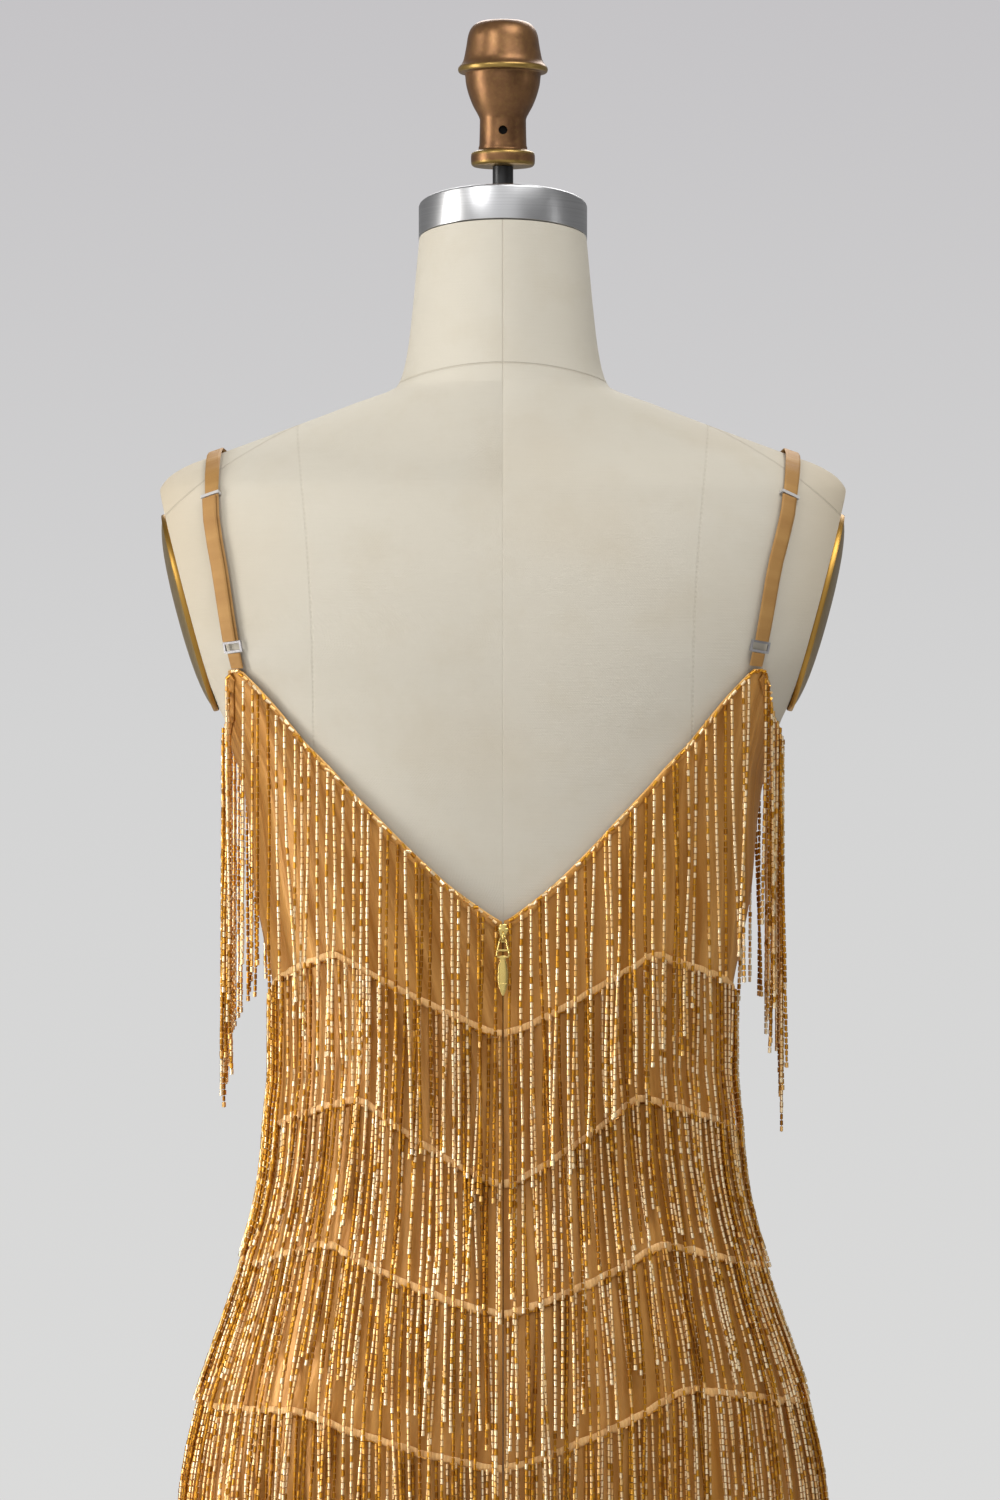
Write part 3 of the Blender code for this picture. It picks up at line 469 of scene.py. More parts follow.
def turned(profile, sides=64):
    """A turned body, made as on a lathe: a disc, drawn up ring by ring and narrowed or widened."""
    radius, height = profile[0]
    only()
    bpy.ops.mesh.primitive_circle_add(vertices=sides, radius=radius, fill_type="NGON",
                                      location=(0, 0, 0))
    bpy.ops.object.mode_set(mode="EDIT")
    bpy.ops.mesh.select_all(action="SELECT")
    bpy.ops.transform.translate(value=(0, 0, height))
    for wide, high in profile[1:]:
        bpy.ops.mesh.extrude_region_move(TRANSFORM_OT_translate={"value": (0, 0, high - height)})
        bpy.ops.transform.resize(value=(wide / radius, wide / radius, 1),
                                 center_override=(0, 0, high))
        radius, height = wide, high
    bpy.ops.mesh.select_all(action="SELECT")
    bpy.ops.mesh.normals_make_consistent(inside=False)
    bpy.ops.object.mode_set(mode="OBJECT")
    return bpy.context.object


def smooth_profile(stations, steps=2):
    """More points on a smooth line through those given, as pairs of radius and height."""
    line = np.array([stations[0], *stations, stations[-1]], float)
    found = []
    for k in range(1, len(line) - 2):
        a, b, c, d = line[k - 1 : k + 3]
        for t in np.arange(steps) / steps:
            found.append(0.5 * (2 * b + (c - a) * t + (2 * a - 5 * b + 4 * c - d) * t**2
                                + (3 * b - a - 3 * c + d) * t**3))
    return [tuple(p) for p in found] + [tuple(line[-1])]


def read_table(table, at):
    """The columns of a table at some values of its first one, on a curve that doesn't overshoot."""
    x, y = table[:, 0], table[:, 1:]
    at = np.clip(at, x[0], x[-1])
    rise = np.diff(y, axis=0) / np.diff(x)[:, None]
    total, both = rise[:-1] + rise[1:], rise[:-1] * rise[1:]
    inner = np.where(both > 0, 2 * both / np.where(total == 0, 1, total), 0)
    slope = np.vstack([rise[:1], inner, rise[-1:]])
    k = np.clip(np.searchsorted(x, at) - 1, 0, len(x) - 2)
    wide = np.asarray(x[k + 1] - x[k])[..., None]
    t = np.asarray(at - x[k])[..., None] / wide
    start = (1 + 2 * t) * (1 - t) ** 2 * y[k] + t * (1 - t) ** 2 * wide * slope[k]
    end = t * t * (3 - 2 * t) * y[k + 1] + t * t * (t - 1) * wide * slope[k + 1]
    return start + end


def unit(vectors):
    return vectors / np.linalg.norm(vectors, axis=-1, keepdims=True)


def steps_of(points, axis=0):
    """The lengths of the steps from each point to the next, after a first one of 0."""
    first = np.take(points, [0], axis=axis)
    return np.linalg.norm(np.diff(points, axis=axis, prepend=first), axis=-1)


print("helpers: ready")

# %% [markdown]
# Everything on the form follows the form's shape, so the shape is worked out once. A short table
# gives the body at each height: its half width, its depth behind and in front, and how boxy it
# is. These are the sizes that the solids were made from.

# %% The shape of the body
BODY = np.array([
    # height, half width, depth behind, depth in front, power
    (0.7, 0.177, 0.108, 0.102, 2.3), (0.74, 0.1785, 0.112, 0.105, 2.3),
    (0.78, 0.1765, 0.115, 0.106, 2.3), (0.82, 0.1685, 0.114, 0.106, 2.3),
    (0.86, 0.157, 0.109, 0.104, 2.3), (0.9, 0.144, 0.099, 0.101, 2.3),
    (0.94, 0.1345, 0.088, 0.097, 2.3), (0.98, 0.13, 0.079, 0.093, 2.3),
    (1.03, 0.1283, 0.072, 0.089, 2.3), (1.06, 0.1295, 0.071, 0.089, 2.3),
    (1.09, 0.135, 0.075, 0.092, 2.3), (1.12, 0.1405, 0.081, 0.097, 2.3),
    (1.16, 0.144, 0.088, 0.103, 2.3), (1.185, 0.148, 0.092, 0.106, 2.35),
    (1.205, 0.156, 0.094, 0.107, 2.35), (1.2255, 0.165, 0.096, 0.105, 2.4),
    (1.26, 0.187, 0.0975, 0.097, 2.4), (1.29, 0.197, 0.0965, 0.087, 2.4),
    (1.32, 0.2, 0.092, 0.075, 2.4), (1.34, 0.2005, 0.087, 0.066, 2.3),
    (1.35, 0.199, 0.0845, 0.061, 2.2), (1.3566, 0.195, 0.0825, 0.058, 2.0),
    (1.364, 0.1845, 0.08, 0.056, 1.8), (1.3725, 0.162, 0.077, 0.054, 1.65),
    (1.388, 0.12, 0.071, 0.052, 1.6), (1.4005, 0.087, 0.065, 0.052, 1.7),
    (1.411, 0.061, 0.059, 0.053, 2.0), (1.43, 0.0555, 0.053, 0.054, 2.0),
    (1.454, 0.0525, 0.049, 0.054, 2.0), (1.48, 0.05, 0.046, 0.053, 2.0),
    (1.496, 0.0485, 0.045, 0.052, 2.0),
])
BUST_APART, BUST_HEIGHT, BUST_WIDE, BUST_TALL = 0.086, 1.200, 0.050, 0.060
CLOTH_BUST, FORM_BUST = (0.0280, 0.25), (0.0232, 0.50)
NECK_TILT = math.tan(math.radians(9))
NECK_FROM, NECK_TOP = 1.42, 1.496


def body_sizes(z):
    return np.moveaxis(read_table(BODY, z), -1, 0)


def bust(x, z, figure):
    """How far the bust stands out of the chest there."""
    reach, cleavage = figure
    reach = reach * np.exp(-(((z - BUST_HEIGHT) / BUST_TALL) ** 2))
    aside = np.maximum(np.abs(x) - BUST_APART, 0)
    inside = 1 - np.clip(np.abs(x) / BUST_APART, 0, 1) ** 2
    return reach * np.exp(-((aside / BUST_WIDE) ** 2)) * (1 - cleavage * inside**2)


def body_points(angle, z, out=0.0, figure=CLOTH_BUST):
    """Points of the body's surface at some angles and heights, moved out level by a distance."""
    angle, z, out = np.broadcast_arrays(np.asarray(angle, float), np.asarray(z, float), out)
    half_width, back, front, power = body_sizes(z)
    s, c = np.sin(np.radians(angle)), np.cos(np.radians(angle))
    depth = np.where(c > 0, back, front)
    x = half_width * np.sign(s) * np.abs(s) ** (2 / power)
    y = -depth * np.sign(c) * np.abs(c) ** (2 / power)
    nx = np.sign(s) * (np.abs(x) / half_width) ** (power - 1) / half_width
    ny = -np.sign(c) * (np.abs(y) / depth) ** (power - 1) / depth
    size = np.hypot(nx, ny)
    y = y + np.where(c < 0, bust(x, z, figure) * np.abs(c) ** 0.5, 0)
    return np.stack([x + nx / size * out, y + ny / size * out, z], axis=-1)


def body_angle(points):
    """The angle round the body of points near it, from 0 at the back and rising to the right."""
    half_width, back, front, power = body_sizes(points[..., 2])
    x, y = points[..., 0], points[..., 1]
    depth = np.where(y < 0, back, front)
    across = np.sign(x) * (np.abs(x) / half_width) ** (power / 2)
    along = -np.sign(y) * (np.abs(y) / depth) ** (power / 2)
    return np.degrees(np.arctan2(across, along)) % 360


def pushed_out(points, out, before):
    """The points, moved straight off the body where it, grown by a distance, covers them.

    before is the distance that the points stood off the body one step earlier.
    """
    turn, z = body_angle(points), points[..., 2]

    def way_off():
        return (body_points(turn, z, 0.001) - body_points(turn, z, 0.0)) * 1000

    for _ in range(2):
        turn = body_angle(points - way_off() * np.asarray(before)[..., None])
    off = way_off()
    short = ((body_points(turn, z, out) - points) * off).sum(axis=-1)
    return points + off * np.maximum(short, 0)[..., None]


print("waist:", round(float(body_sizes(np.array([1.05]))[0][0]) * 2000), "mm wide")

# %% [markdown]
# The form itself is a padded shell with canvas drawn over it. A fine grid over the same sizes
# gives a smooth skin, and the armholes are cut flat for their plates, as the solid's are.

# %% The padded form
PLATE_CENTRE, PLATE_LEAN = Vector((0.1795, -0.003, 1.2800)), math.radians(15)
CUT_SIZE = (0.06, 0.3, 0.24)
# Lowest and highest ring of each stretch of the form, and how many rings it has
FORM_RINGS = ((0.705, 1.17, 30), (1.18, 1.33, 24), (1.335, 1.372, 14), (1.375, 1.43, 20),
              (1.435, NECK_TOP, 12))


def plate_place(side):
    """The place of an arm plate: its own +X points out of the armhole, a little downwards."""
    centre = Vector((side * PLATE_CENTRE.x, PLATE_CENTRE.y, PLATE_CENTRE.z))
    lean = Matrix.Rotation(side * PLATE_LEAN, 4, "Y")
    turn = Matrix.Rotation(math.pi if side < 0 else 0, 4, "Z")
    return Matrix.Translation(centre) @ lean @ turn


def make_form():
    angles = np.linspace(0, 360, 121)[:-1]
    heights = np.concatenate([np.linspace(*some) for some in FORM_RINGS])
    points = np.array([body_points(angles, 0.70, -0.004, FORM_BUST)]
                      + [body_points(angles, z, 0.0, FORM_BUST) for z in heights])
    # The neck leans, so that its rings drop towards the front.
    share = np.clip((points[..., 2] - NECK_FROM) / (NECK_TOP - NECK_FROM), 0, 1)
    points[..., 2] -= points[..., 1] * NECK_TILT * share
    rows, columns = points.shape[:2]
    arc = np.cumsum(np.linalg.norm(np.roll(points, -1, 1) - points, axis=-1), axis=1)
    faces = sheet_faces(rows, columns, capped=True)
    form = piece_from("form", points, faces, np.stack([arc, points[..., 2]], axis=-1))
    cloth = form.data.uv_layers[0].data
    for r in range(rows - 1):
        # The last face of a ring ends at the ring's first point, a whole turn further on.
        last_face = (r * columns + columns - 1) * 4
        for corner, row in ((1, r), (2, r + 1)):
            cloth[last_face + corner].uv.x = arc[row, -1] + arc[row, 0]
    surface = BVHTree.FromPolygons(points.reshape(-1, 3).tolist(), faces)
    for side in (1, -1):
        only()
        bpy.ops.mesh.primitive_cube_add(size=1)
        cutter = bpy.context.object
        size = Matrix.Diagonal((*CUT_SIZE, 1))
        cutter.data.transform(Matrix.Translation((CUT_SIZE[0] / 2, 0, 0)) @ size)
        cutter.matrix_world = plate_place(side)
        apply_modifier(form, "BOOLEAN", object=cutter, operation="DIFFERENCE", solver="EXACT")
        bpy.data.objects.remove(cutter)
    finish_piece(form, "form_canvas", canvas, ["form_torso"], smooth=32)
    return surface


form_surface = make_form()

# %% [markdown]
# The fittings of the form are turned metal: the steel cap that closes the neck, the rod, the
# knob on top, and the pole and base below. Each is drawn up from a disc, as on a lathe.

# %% Cap, rod, knob, pole and base
CAP_HIGH, CAP_RADIUS, CAP_CENTRE = 0.0205, 0.0486, 0.0035
KNOB_FOOT = 1.5385
HOLE_HEIGHT, HOLE_RADIUS = 0.0196, 0.0026
RUBBED_AT, RUBBED_WIDE = np.array([0.0008, 0.0074, 0.0552, 0.0562]), 0.0010
ROD_RADIUS, POLE_RADIUS = 0.006, 0.016
GAP = 0.0003


def neck_cap():
    cap = turned([(CAP_RADIUS + wide, high) for wide, high in (
        (-0.0012, 0), (0.0003, 0.0006), (0.0003, CAP_HIGH - 0.0016), (0, CAP_HIGH - 0.0008),
        (-0.0008, CAP_HIGH - 0.0002), (-0.002, CAP_HIGH), (-0.006, CAP_HIGH),
    )], 128)
    for v in cap.data.vertices:
        v.co.y += CAP_CENTRE
        v.co.z += NECK_TOP + GAP - v.co.y * NECK_TILT
    finish_piece(cap, "steel_cap", steel, ["neck_cap"])


def knob():
    stations = [
        (0.0172, 0.0), (0.0181, 0.0008), (0.0185, 0.0024), (0.0185, 0.0060), (0.0178, 0.0078),
        (0.0150, 0.0088), (0.0142, 0.0094), (0.0141, 0.0112), (0.0137, 0.0124), (0.0134, 0.0250),
        (0.0136, 0.0278), (0.0150, 0.0308), (0.0174, 0.0352), (0.0197, 0.0410), (0.0213, 0.0470),
        (0.0220, 0.0528), (0.0228, 0.0539), (0.0253, 0.0543), (0.0260, 0.0556), (0.0258, 0.0572),
        (0.0242, 0.0590), (0.0230, 0.0612), (0.0221, 0.0650), (0.0211, 0.0705), (0.0203, 0.0755),
        (0.0189, 0.0792), (0.0166, 0.0820), (0.0130, 0.0837), (0.0060, 0.0845),
    ]
    made = turned([(r, KNOB_FOOT + h) for r, h in smooth_profile(stations, 3)], 72)
    only()
    bpy.ops.mesh.primitive_cylinder_add(
        vertices=24, radius=HOLE_RADIUS, depth=0.02,
        location=(0, -0.017, KNOB_FOOT + HOLE_HEIGHT), rotation=(math.pi / 2, 0, 0),
    )
    drill = bpy.context.object
    apply_modifier(made, "BOOLEAN", object=drill, operation="DIFFERENCE", solver="EXACT")
    bpy.data.objects.remove(drill)
    finish_piece(made, "copper_knob", copper, ["finial"], smooth=50)
    x, y, z = np.array([v.co[:] for v in made.data.vertices]).T
    height = z - KNOB_FOOT
    rubbed = np.exp(-(((height[:, None] - RUBBED_AT) / RUBBED_WIDE) ** 2)).max(axis=1)
    # Points inside the screw hole, for its painted shade.
    inside = (np.hypot(x, height - HOLE_HEIGHT) < HOLE_RADIUS * 1.1) & (y > -0.0125) & (y < 0)
    mark(made.data, "rubbed", rubbed.astype(np.float32))
    mark(made.data, "deep", inside.astype(np.float32))


def rod():
    made = turned([(ROD_RADIUS, 0), (ROD_RADIUS, 0.0198)], 32)
    base = NECK_TOP + CAP_HIGH + 3 * GAP
    for v in made.data.vertices:
        v.co.z = base - v.co.y * NECK_TILT if v.co.z < 0.01 else KNOB_FOOT - GAP
    finish_piece(made, "knob_rod", black, ["neck_rod"])


def pole_and_base():
    base = turned([
        (0.197, 0.0), (0.200, 0.0020), (0.200, 0.0075), (0.1985, 0.0092), (0.196, 0.0100),
        (0.140, 0.0150), (0.070, 0.0186), (0.046, 0.0205), (0.037, 0.0245), (0.0335, 0.0310),
        (0.0325, 0.0660), (0.0315, 0.0690), (0.0290, 0.0700), (0.0164, 0.0700), (0.0164, 0.0120),
    ], 96)
    finish_piece(base, "stand_base", black, ["base"], smooth=35)
    pole = turned([(POLE_RADIUS, 0.0123), (POLE_RADIUS, 0.6997)], 48)
    finish_piece(pole, "stand_pole", black, ["pole"])


neck_cap()
knob()
rod()
pole_and_base()
print("fittings: cap, knob, rod, pole, base")

# %% [markdown]
# Each armhole is closed by an oval plate, domed and of dark brass, with a raised rim. From
# behind, the rim shows as a gold line and the dome as a darker strip beside it.

# %% Arm plates
PLATE_HALF_HIGH, PLATE_HALF_WIDE = 0.059, 0.040
PLATE_FACE = ((0.93, 0.0004), (0.95, 0.0014), (0.955, 0.0030), (0.90, 0.0045), (0.80, 0.0060),
              (0.64, 0.0075), (0.40, 0.0086), (0.12, 0.0090))
PLATE_RIM = ((0.962, 0.0003), (0.975, 0.0001), (0.997, 0.0003), (1.0, 0.0010), (1.0, 0.0024),
             (0.995, 0.0032), (0.975, 0.0034), (0.962, 0.0031))


def open_ring(mesh):
    """Takes the two end faces off a turned body and joins their edges by an inner wall."""
    ends = [f for f in mesh.faces if len(f.verts) > 4]
    bmesh.ops.delete(mesh, geom=ends, context="FACES_ONLY")
    bmesh.ops.bridge_loops(mesh, edges=[e for e in mesh.edges if e.is_boundary])


for side, name in ((1, "right"), (-1, "left")):
    face = turned(smooth_profile(PLATE_FACE), 72)
    rim = changed(turned(PLATE_RIM, 72), open_ring)
    for piece in (face, rim):
        size = Matrix.Diagonal((PLATE_HALF_HIGH, PLATE_HALF_WIDE, 1, 1))
        piece.data.transform(plate_place(side) @ Matrix.Rotation(math.pi / 2, 4, "Y") @ size)
    plate = f"arm_plate_{name}"
    finish_piece(face, f"{plate}_face", dark_brass, [plate])
    finish_piece(rim, f"{plate}_rim", old_brass)
print("arm plates: two, each a face and a rim")

# %% [markdown]
# The lines of the dress come next: its top edge, and the height at which each fringe tape is
# sewn. Both dip at the middle and rise to the sides. The right strap sits a little nearer the
# middle than the left one, as on the photograph, so angles on the right are matched to the left.

# %% The lines of the dress
OUTSIDE = 0.0037
BACK_STRAP, BACK_STRAP_RIGHT, FRONT_STRAP, STRAP_HALF_TOP = 54.6, 50.2, 148.0, 1.7
LEFT_ANGLES, RIGHT_ANGLES = (0.0, BACK_STRAP, 90.0, 180.0), (0.0, BACK_STRAP_RIGHT, 90.0, 180.0)
TOP_EDGE = np.array([
    # angle, height
    (0.0, 1.1020), (10.6, 1.1245), (21.2, 1.1500), (31.8, 1.1760), (42.3, 1.2040),
    (52.9, 1.2450), (56.3, 1.2450), (67.5, 1.2210), (78.8, 1.2090), (90.0, 1.2040),
    (105.0, 1.2030), (118.0, 1.2090), (132.0, 1.2230), (146.3, 1.2560), (149.7, 1.2560),
    (160.0, 1.2200), (170.0, 1.1900), (180.0, 1.1650),
])
TAPES = (
    # peak_left, peak_right, centre_back, height_left, height_right, side, front_peak, centre_front
    (41.0, 39.0, 1.0405, 1.0865, 1.0865, 1.0608, 1.0780, 1.0430),
    (35.0, 35.0, 0.9560, 1.0045, 1.0055, 0.9796, 1.0000, 0.9620),
    (41.0, 39.0, 0.8855, 0.9235, 0.9235, 0.9000, 0.9200, 0.8850),
    (40.0, 38.0, 0.8010, 0.8310, 0.8440, 0.8240, 0.8380, 0.8050),
    (35.0, 35.0, 0.7220, 0.7570, 0.7570, 0.7410, 0.7580, 0.7250),
    (35.0, 35.0, 0.6420, 0.6770, 0.6770, 0.6610, 0.6780, 0.6450),
)
HEM = 0.600
TIERS = len(TAPES)


def folded(angle):
    """Angles round the body as those of the left half, from 0 at the back to 180 at the front."""
    angle = np.asarray(angle, float) % 360
    return np.where(angle > 180, 360 - angle, np.interp(angle, RIGHT_ANGLES, LEFT_ANGLES))


def tape_height(tier, angle):
    """The upper edge of a tape. Tier 0 is the edge of the dress, and the hem follows the last."""
    if tier == 0:
        return np.interp(folded(angle), TOP_EDGE[:, 0], TOP_EDGE[:, 1])
    if tier > TIERS:
        return np.full(np.shape(angle), HEM)
    peak_left, peak_right, centre, left, right, side, *front = TAPES[tier - 1]
    turn, on_left = folded(angle), np.asarray(angle) % 360 > 180

    def line(peak, height):
        """The tape's line on one side, with its corners eased but for the point at the zip."""
        turns, heights = (0.0, peak, 90.0, FRONT_STRAP, 180.0), (centre, height, side, *front)
        return sum(np.interp(turn + t, turns, heights) for t in (-2.5, 0, 2.5)) / 3

    return np.where(on_left, line(peak_left, left), line(peak_right, right))


print("tiers:", TIERS)

# %% [markdown]
# The satin lies close to the body, but it isn't smooth. Each fold is listed as a soft
# ridge or trough from one point to another: diagonal pulls below the straps, and long soft
# drapes between the seams. A thin wall then makes it cloth, cut in three panels as the real
# dress is: one front, and two backs that meet at the zip.

# %% The satin panels
CREASES = (
    # angle and height of one end, angle and height of the other, height of the ridge, width
    (50, 1.215, 12, 1.095, 0.0016, 0.007), (46, 1.185, 20, 1.075, -0.0012, 0.006),
    (52, 1.200, 30, 1.060, 0.0014, 0.006), (55, 1.190, 42, 1.050, -0.0012, 0.006),
    (60, 1.180, 52, 1.070, 0.0013, 0.007), (40, 1.150, 34, 1.000, 0.0011, 0.006),
    (26, 1.120, 24, 0.980, -0.0010, 0.007), (14, 1.080, 15, 0.950, 0.0011, 0.006),
    (70, 1.170, 64, 1.040, -0.0012, 0.007), (82, 1.150, 80, 1.000, 0.0013, 0.008),
    (36, 0.990, 35, 0.860, 0.0012, 0.007), (20, 0.960, 21, 0.830, -0.0012, 0.006),
    (52, 0.980, 55, 0.850, -0.0012, 0.007), (68, 0.960, 70, 0.820, 0.0013, 0.007),
    (10, 0.900, 11, 0.760, 0.0012, 0.006), (30, 0.880, 29, 0.740, -0.0012, 0.007),
    (46, 0.870, 47, 0.740, 0.0013, 0.007), (62, 0.860, 63, 0.720, -0.0012, 0.007),
    (80, 0.880, 81, 0.720, 0.0012, 0.008), (18, 0.760, 18, 0.610, 0.0016, 0.008),
    (40, 0.740, 40, 0.610, -0.0016, 0.008), (60, 0.740, 60, 0.610, 0.0016, 0.008),
    (78, 0.740, 78, 0.610, -0.0016, 0.009), (100, 1.160, 98, 1.020, -0.0013, 0.008),
    (120, 1.150, 112, 1.040, 0.0014, 0.008), (140, 1.130, 130, 1.020, -0.0013, 0.008),
    (160, 1.120, 150, 1.000, 0.0014, 0.008), (172, 1.060, 168, 0.930, -0.0012, 0.007),
    (110, 0.960, 112, 0.820, 0.0013, 0.008), (128, 0.960, 128, 0.830, -0.0013, 0.008),
    (146, 0.940, 147, 0.800, 0.0013, 0.008), (164, 0.900, 164, 0.760, -0.0013, 0.008),
    (104, 0.800, 104, 0.650, -0.0015, 0.009), (124, 0.780, 124, 0.620, 0.0015, 0.009),
    (144, 0.770, 144, 0.610, -0.0015, 0.009), (166, 0.760, 166, 0.610, 0.0015, 0.009),
)
LEFT_SHIFT = (4.0, 0.012, 0.8)
ARC_RADIUS = 0.13
SATIN_OUT, SATIN_THICK = OUTSIDE - 0.0007, 0.0010
DEEPEST, HIGHEST = -0.0011, 0.0016
ZIP_SLIT, ZIP_FOLD, SEAM_LAP = 0.00035, 0.0007, 0.00015
PANEL_ROWS = 110


def crease_height(angle, z):
    """How far the folds lift or sink the cloth there. The left half has them a little displaced."""
    on_left = (angle % 360) > 180
    around, along, strength = LEFT_SHIFT
    lift = np.zeros(np.shape(angle))
    arc = ARC_RADIUS * np.radians(folded(angle) + np.where(on_left, around, 0))
    high = z + np.where(on_left, along, 0)
    for a0, z0, a1, z1, ridge, wide in CREASES:
        x0, x1 = ARC_RADIUS * math.radians(a0), ARC_RADIUS * math.radians(a1)
        dx, dz = x1 - x0, z1 - z0
        near = np.clip(((arc - x0) * dx + (high - z0) * dz) / (dx * dx + dz * dz), 0, 1)
        away = np.hypot(arc - x0 - near * dx, high - z0 - near * dz)
        fade = np.sin(math.pi * (0.06 + 0.88 * near))
        lift += ridge * fade * np.exp(-((away / wide) ** 2)) * np.where(on_left, strength, 1.0)
    return lift


def cloth_from(name, points, uv, thick):
    """A grid of points as cloth: a thin wall with its middle on the points."""
    cloth = piece_from(name, points, sheet_faces(*points.shape[:2]), uv)
    return apply_modifier(cloth, "SOLIDIFY", thickness=thick, offset=0)


def panel(name, first, last, columns, node):
    """A cloth panel between two angles, with its folds. It turns in at the zip."""
    angle = np.linspace(first, last, columns)
    top = tape_height(0, angle)
    z = top + (HEM - top) * np.linspace(0, 1, PANEL_ROWS)[:, None]
    turns = np.broadcast_to(angle, z.shape)
    calm = np.clip((top - z) / 0.02, 0, 1) * np.clip(z - HEM + 0.2, 0, 1)
    lift = np.clip(crease_height(turns, z) * calm, DEEPEST, HIGHEST)
    points = body_points(turns, z, SATIN_OUT + lift)
    for edge, at in ((0, first), (-1, last)):
        if at in (0, 360):
            points[:, edge, 0] = ZIP_SLIT if at == 0 else -ZIP_SLIT
            points[:, edge, 1] += ZIP_FOLD
        else:
            points[:, edge, 1] += SEAM_LAP if name == "satin_front" else -SEAM_LAP
    arc = np.cumsum(steps_of(points, axis=1), axis=1)
    cloth = cloth_from(name, points, np.stack([arc, z], axis=-1), SATIN_THICK)
    finish_piece(cloth, name, satin, [node], smooth=60)
    down = steps_of(points).sum(axis=0).max()
    print(name, "is", round(arc.max(), 3), "m wide and", round(down, 3), "m long on the form")


panel("satin_back_right", 0, 90, 70, "back_right")
panel("satin_front", 90, 270, 130, "front")
panel("satin_back_left", 270, 360, 70, "back_left")
print("folds placed by hand:", 2 * len(CREASES))

# %% [markdown]
# A fringe tape is a narrow knitted band with the strands sewn to its lower edge. It is a strip
# on the same surface as the cloth, a little further out, with small waves from the hand that
# sewed it. The edge of the dress has a rolled cord of satin as well, with beads sewn along it.

# %% The tapes
EDGE_TAPE_HIGH, TAPE_THICK = 0.0046, 0.0009
TAPE_OUT = OUTSIDE + 0.0006
TAPE_END = 0.0006
# How far down a tape, as a share of its height, and how far out it stands there
TAPE_ROWS = np.array([(0, 0.0), (0.2, 0.00035), (0.55, 0.0004), (0.85, 0.0001), (1, -0.0003)])


def wavy(angle, size, seed, turns=(9, 23, 41, 67)):
    """A small smooth unevenness along an edge."""
    phases = np.random.default_rng(seed).uniform(0, math.tau, len(turns))
    waves = [np.sin(np.radians(angle) * n + p) for n, p in zip(turns, phases)]
    return size * sum(waves) / len(turns)


def even_angles(tier, first, last, spacing, out=TAPE_OUT):
    """Angles at even steps along a tape's line."""
    fine = np.linspace(first, last, 1500)
    run = np.cumsum(steps_of(body_points(fine, tape_height(tier, fine), out)[:, :2]))
    count = max(2, int(round(run[-1] / spacing)))
    return np.interp(np.linspace(0, run[-1], count + 1), run, fine)


def tape(name, tier, first, last, high, finish):
    angle = even_angles(tier, first, last, 0.0022)
    top = tape_height(tier, angle) + wavy(angle, 0.0007, tier)
    low = top - high + wavy(angle, 0.0011, tier + 30, (31, 67, 131, 211))
    points = np.array([body_points(angle, top + (low - top) * share, TAPE_OUT + out)
                       for share, out in TAPE_ROWS])
    for end in (0, -1):
        at_zip = (np.abs(points[:, end, 0]) < 0.01) & (points[:, end, 1] < 0)
        points[at_zip, end, 0] = np.sign(points[at_zip, end, 0]) * TAPE_END
    arc = np.cumsum(steps_of(points[1]))
    uv = np.stack(np.broadcast_arrays(arc, TAPE_ROWS[:, :1] * high), axis=-1)
    strip = cloth_from(name, points, uv, TAPE_THICK)
    finish_piece(strip, name, finish, smooth=60)


FRONT_STRAP_LEFT, BACK_STRAP_LEFT = 360 - FRONT_STRAP, 360 - BACK_STRAP
EDGES = (
    # name, first angle, last angle, spacing of the strands, their length
    ("back_neck_right", 0.6, BACK_STRAP_RIGHT - STRAP_HALF_TOP, 0.0051, 0.160),
    ("armhole_right", BACK_STRAP_RIGHT + STRAP_HALF_TOP, FRONT_STRAP - STRAP_HALF_TOP,
     0.0049, 0.208),
    ("front_neck", FRONT_STRAP + STRAP_HALF_TOP, FRONT_STRAP_LEFT - STRAP_HALF_TOP,
     0.0051, 0.155),
    ("armhole_left", FRONT_STRAP_LEFT + STRAP_HALF_TOP, BACK_STRAP_LEFT - STRAP_HALF_TOP,
     0.0049, 0.208),
    ("back_neck_left", BACK_STRAP_LEFT + STRAP_HALF_TOP, 359.4, 0.0051, 0.160),
)
for tier in range(1, TIERS + 1):
    tape(f"tape_tier_{tier}", tier, 0.3, 359.7, TAPE_HIGH, tape_satin)
for name, first, last, *_ in EDGES:
    tape(f"tape_{name}", 0, first, last, EDGE_TAPE_HIGH, satin)
print("tapes:", TIERS + len(EDGES))

# %% [markdown]
# A cord is a tube round a line of points. The same helper makes the rolled edge of the dress
# and, later, the bail of the zip pull.

# %% The rolled edge
def tube(name, line, radius, sides=6, closed=False):
    """A tube round a line of points, closed at its ends or on itself."""
    line = np.asarray(line, float)
    if closed:
        along = unit(np.roll(line, -1, 0) - np.roll(line, 1, 0))
    else:
        along = unit(np.gradient(line, axis=0))
    up = np.where(np.abs(along[:, 2:3]) < 0.9, (0.0, 0.0, 1.0), (0.0, 1.0, 0.0))
    u = unit(np.cross(along, up))
    v = np.cross(along, u)
    turn = (np.arange(sides) * math.tau / sides)[:, None]
    points = line[:, None] + radius * (u[:, None] * np.cos(turn) + v[:, None] * np.sin(turn))
    run = np.cumsum(steps_of(line))[:, None]
    uv = np.stack(np.broadcast_arrays(run, turn[:, 0] * radius), axis=-1)
    faces = sheet_faces(len(line), sides, closed=True, capped=not closed)
    if closed:
        last = (len(line) - 1) * sides
        faces += [(last + c, last + (c + 1) % sides, (c + 1) % sides, c) for c in range(sides)]
    return changed(piece_from(name, points, faces, uv))


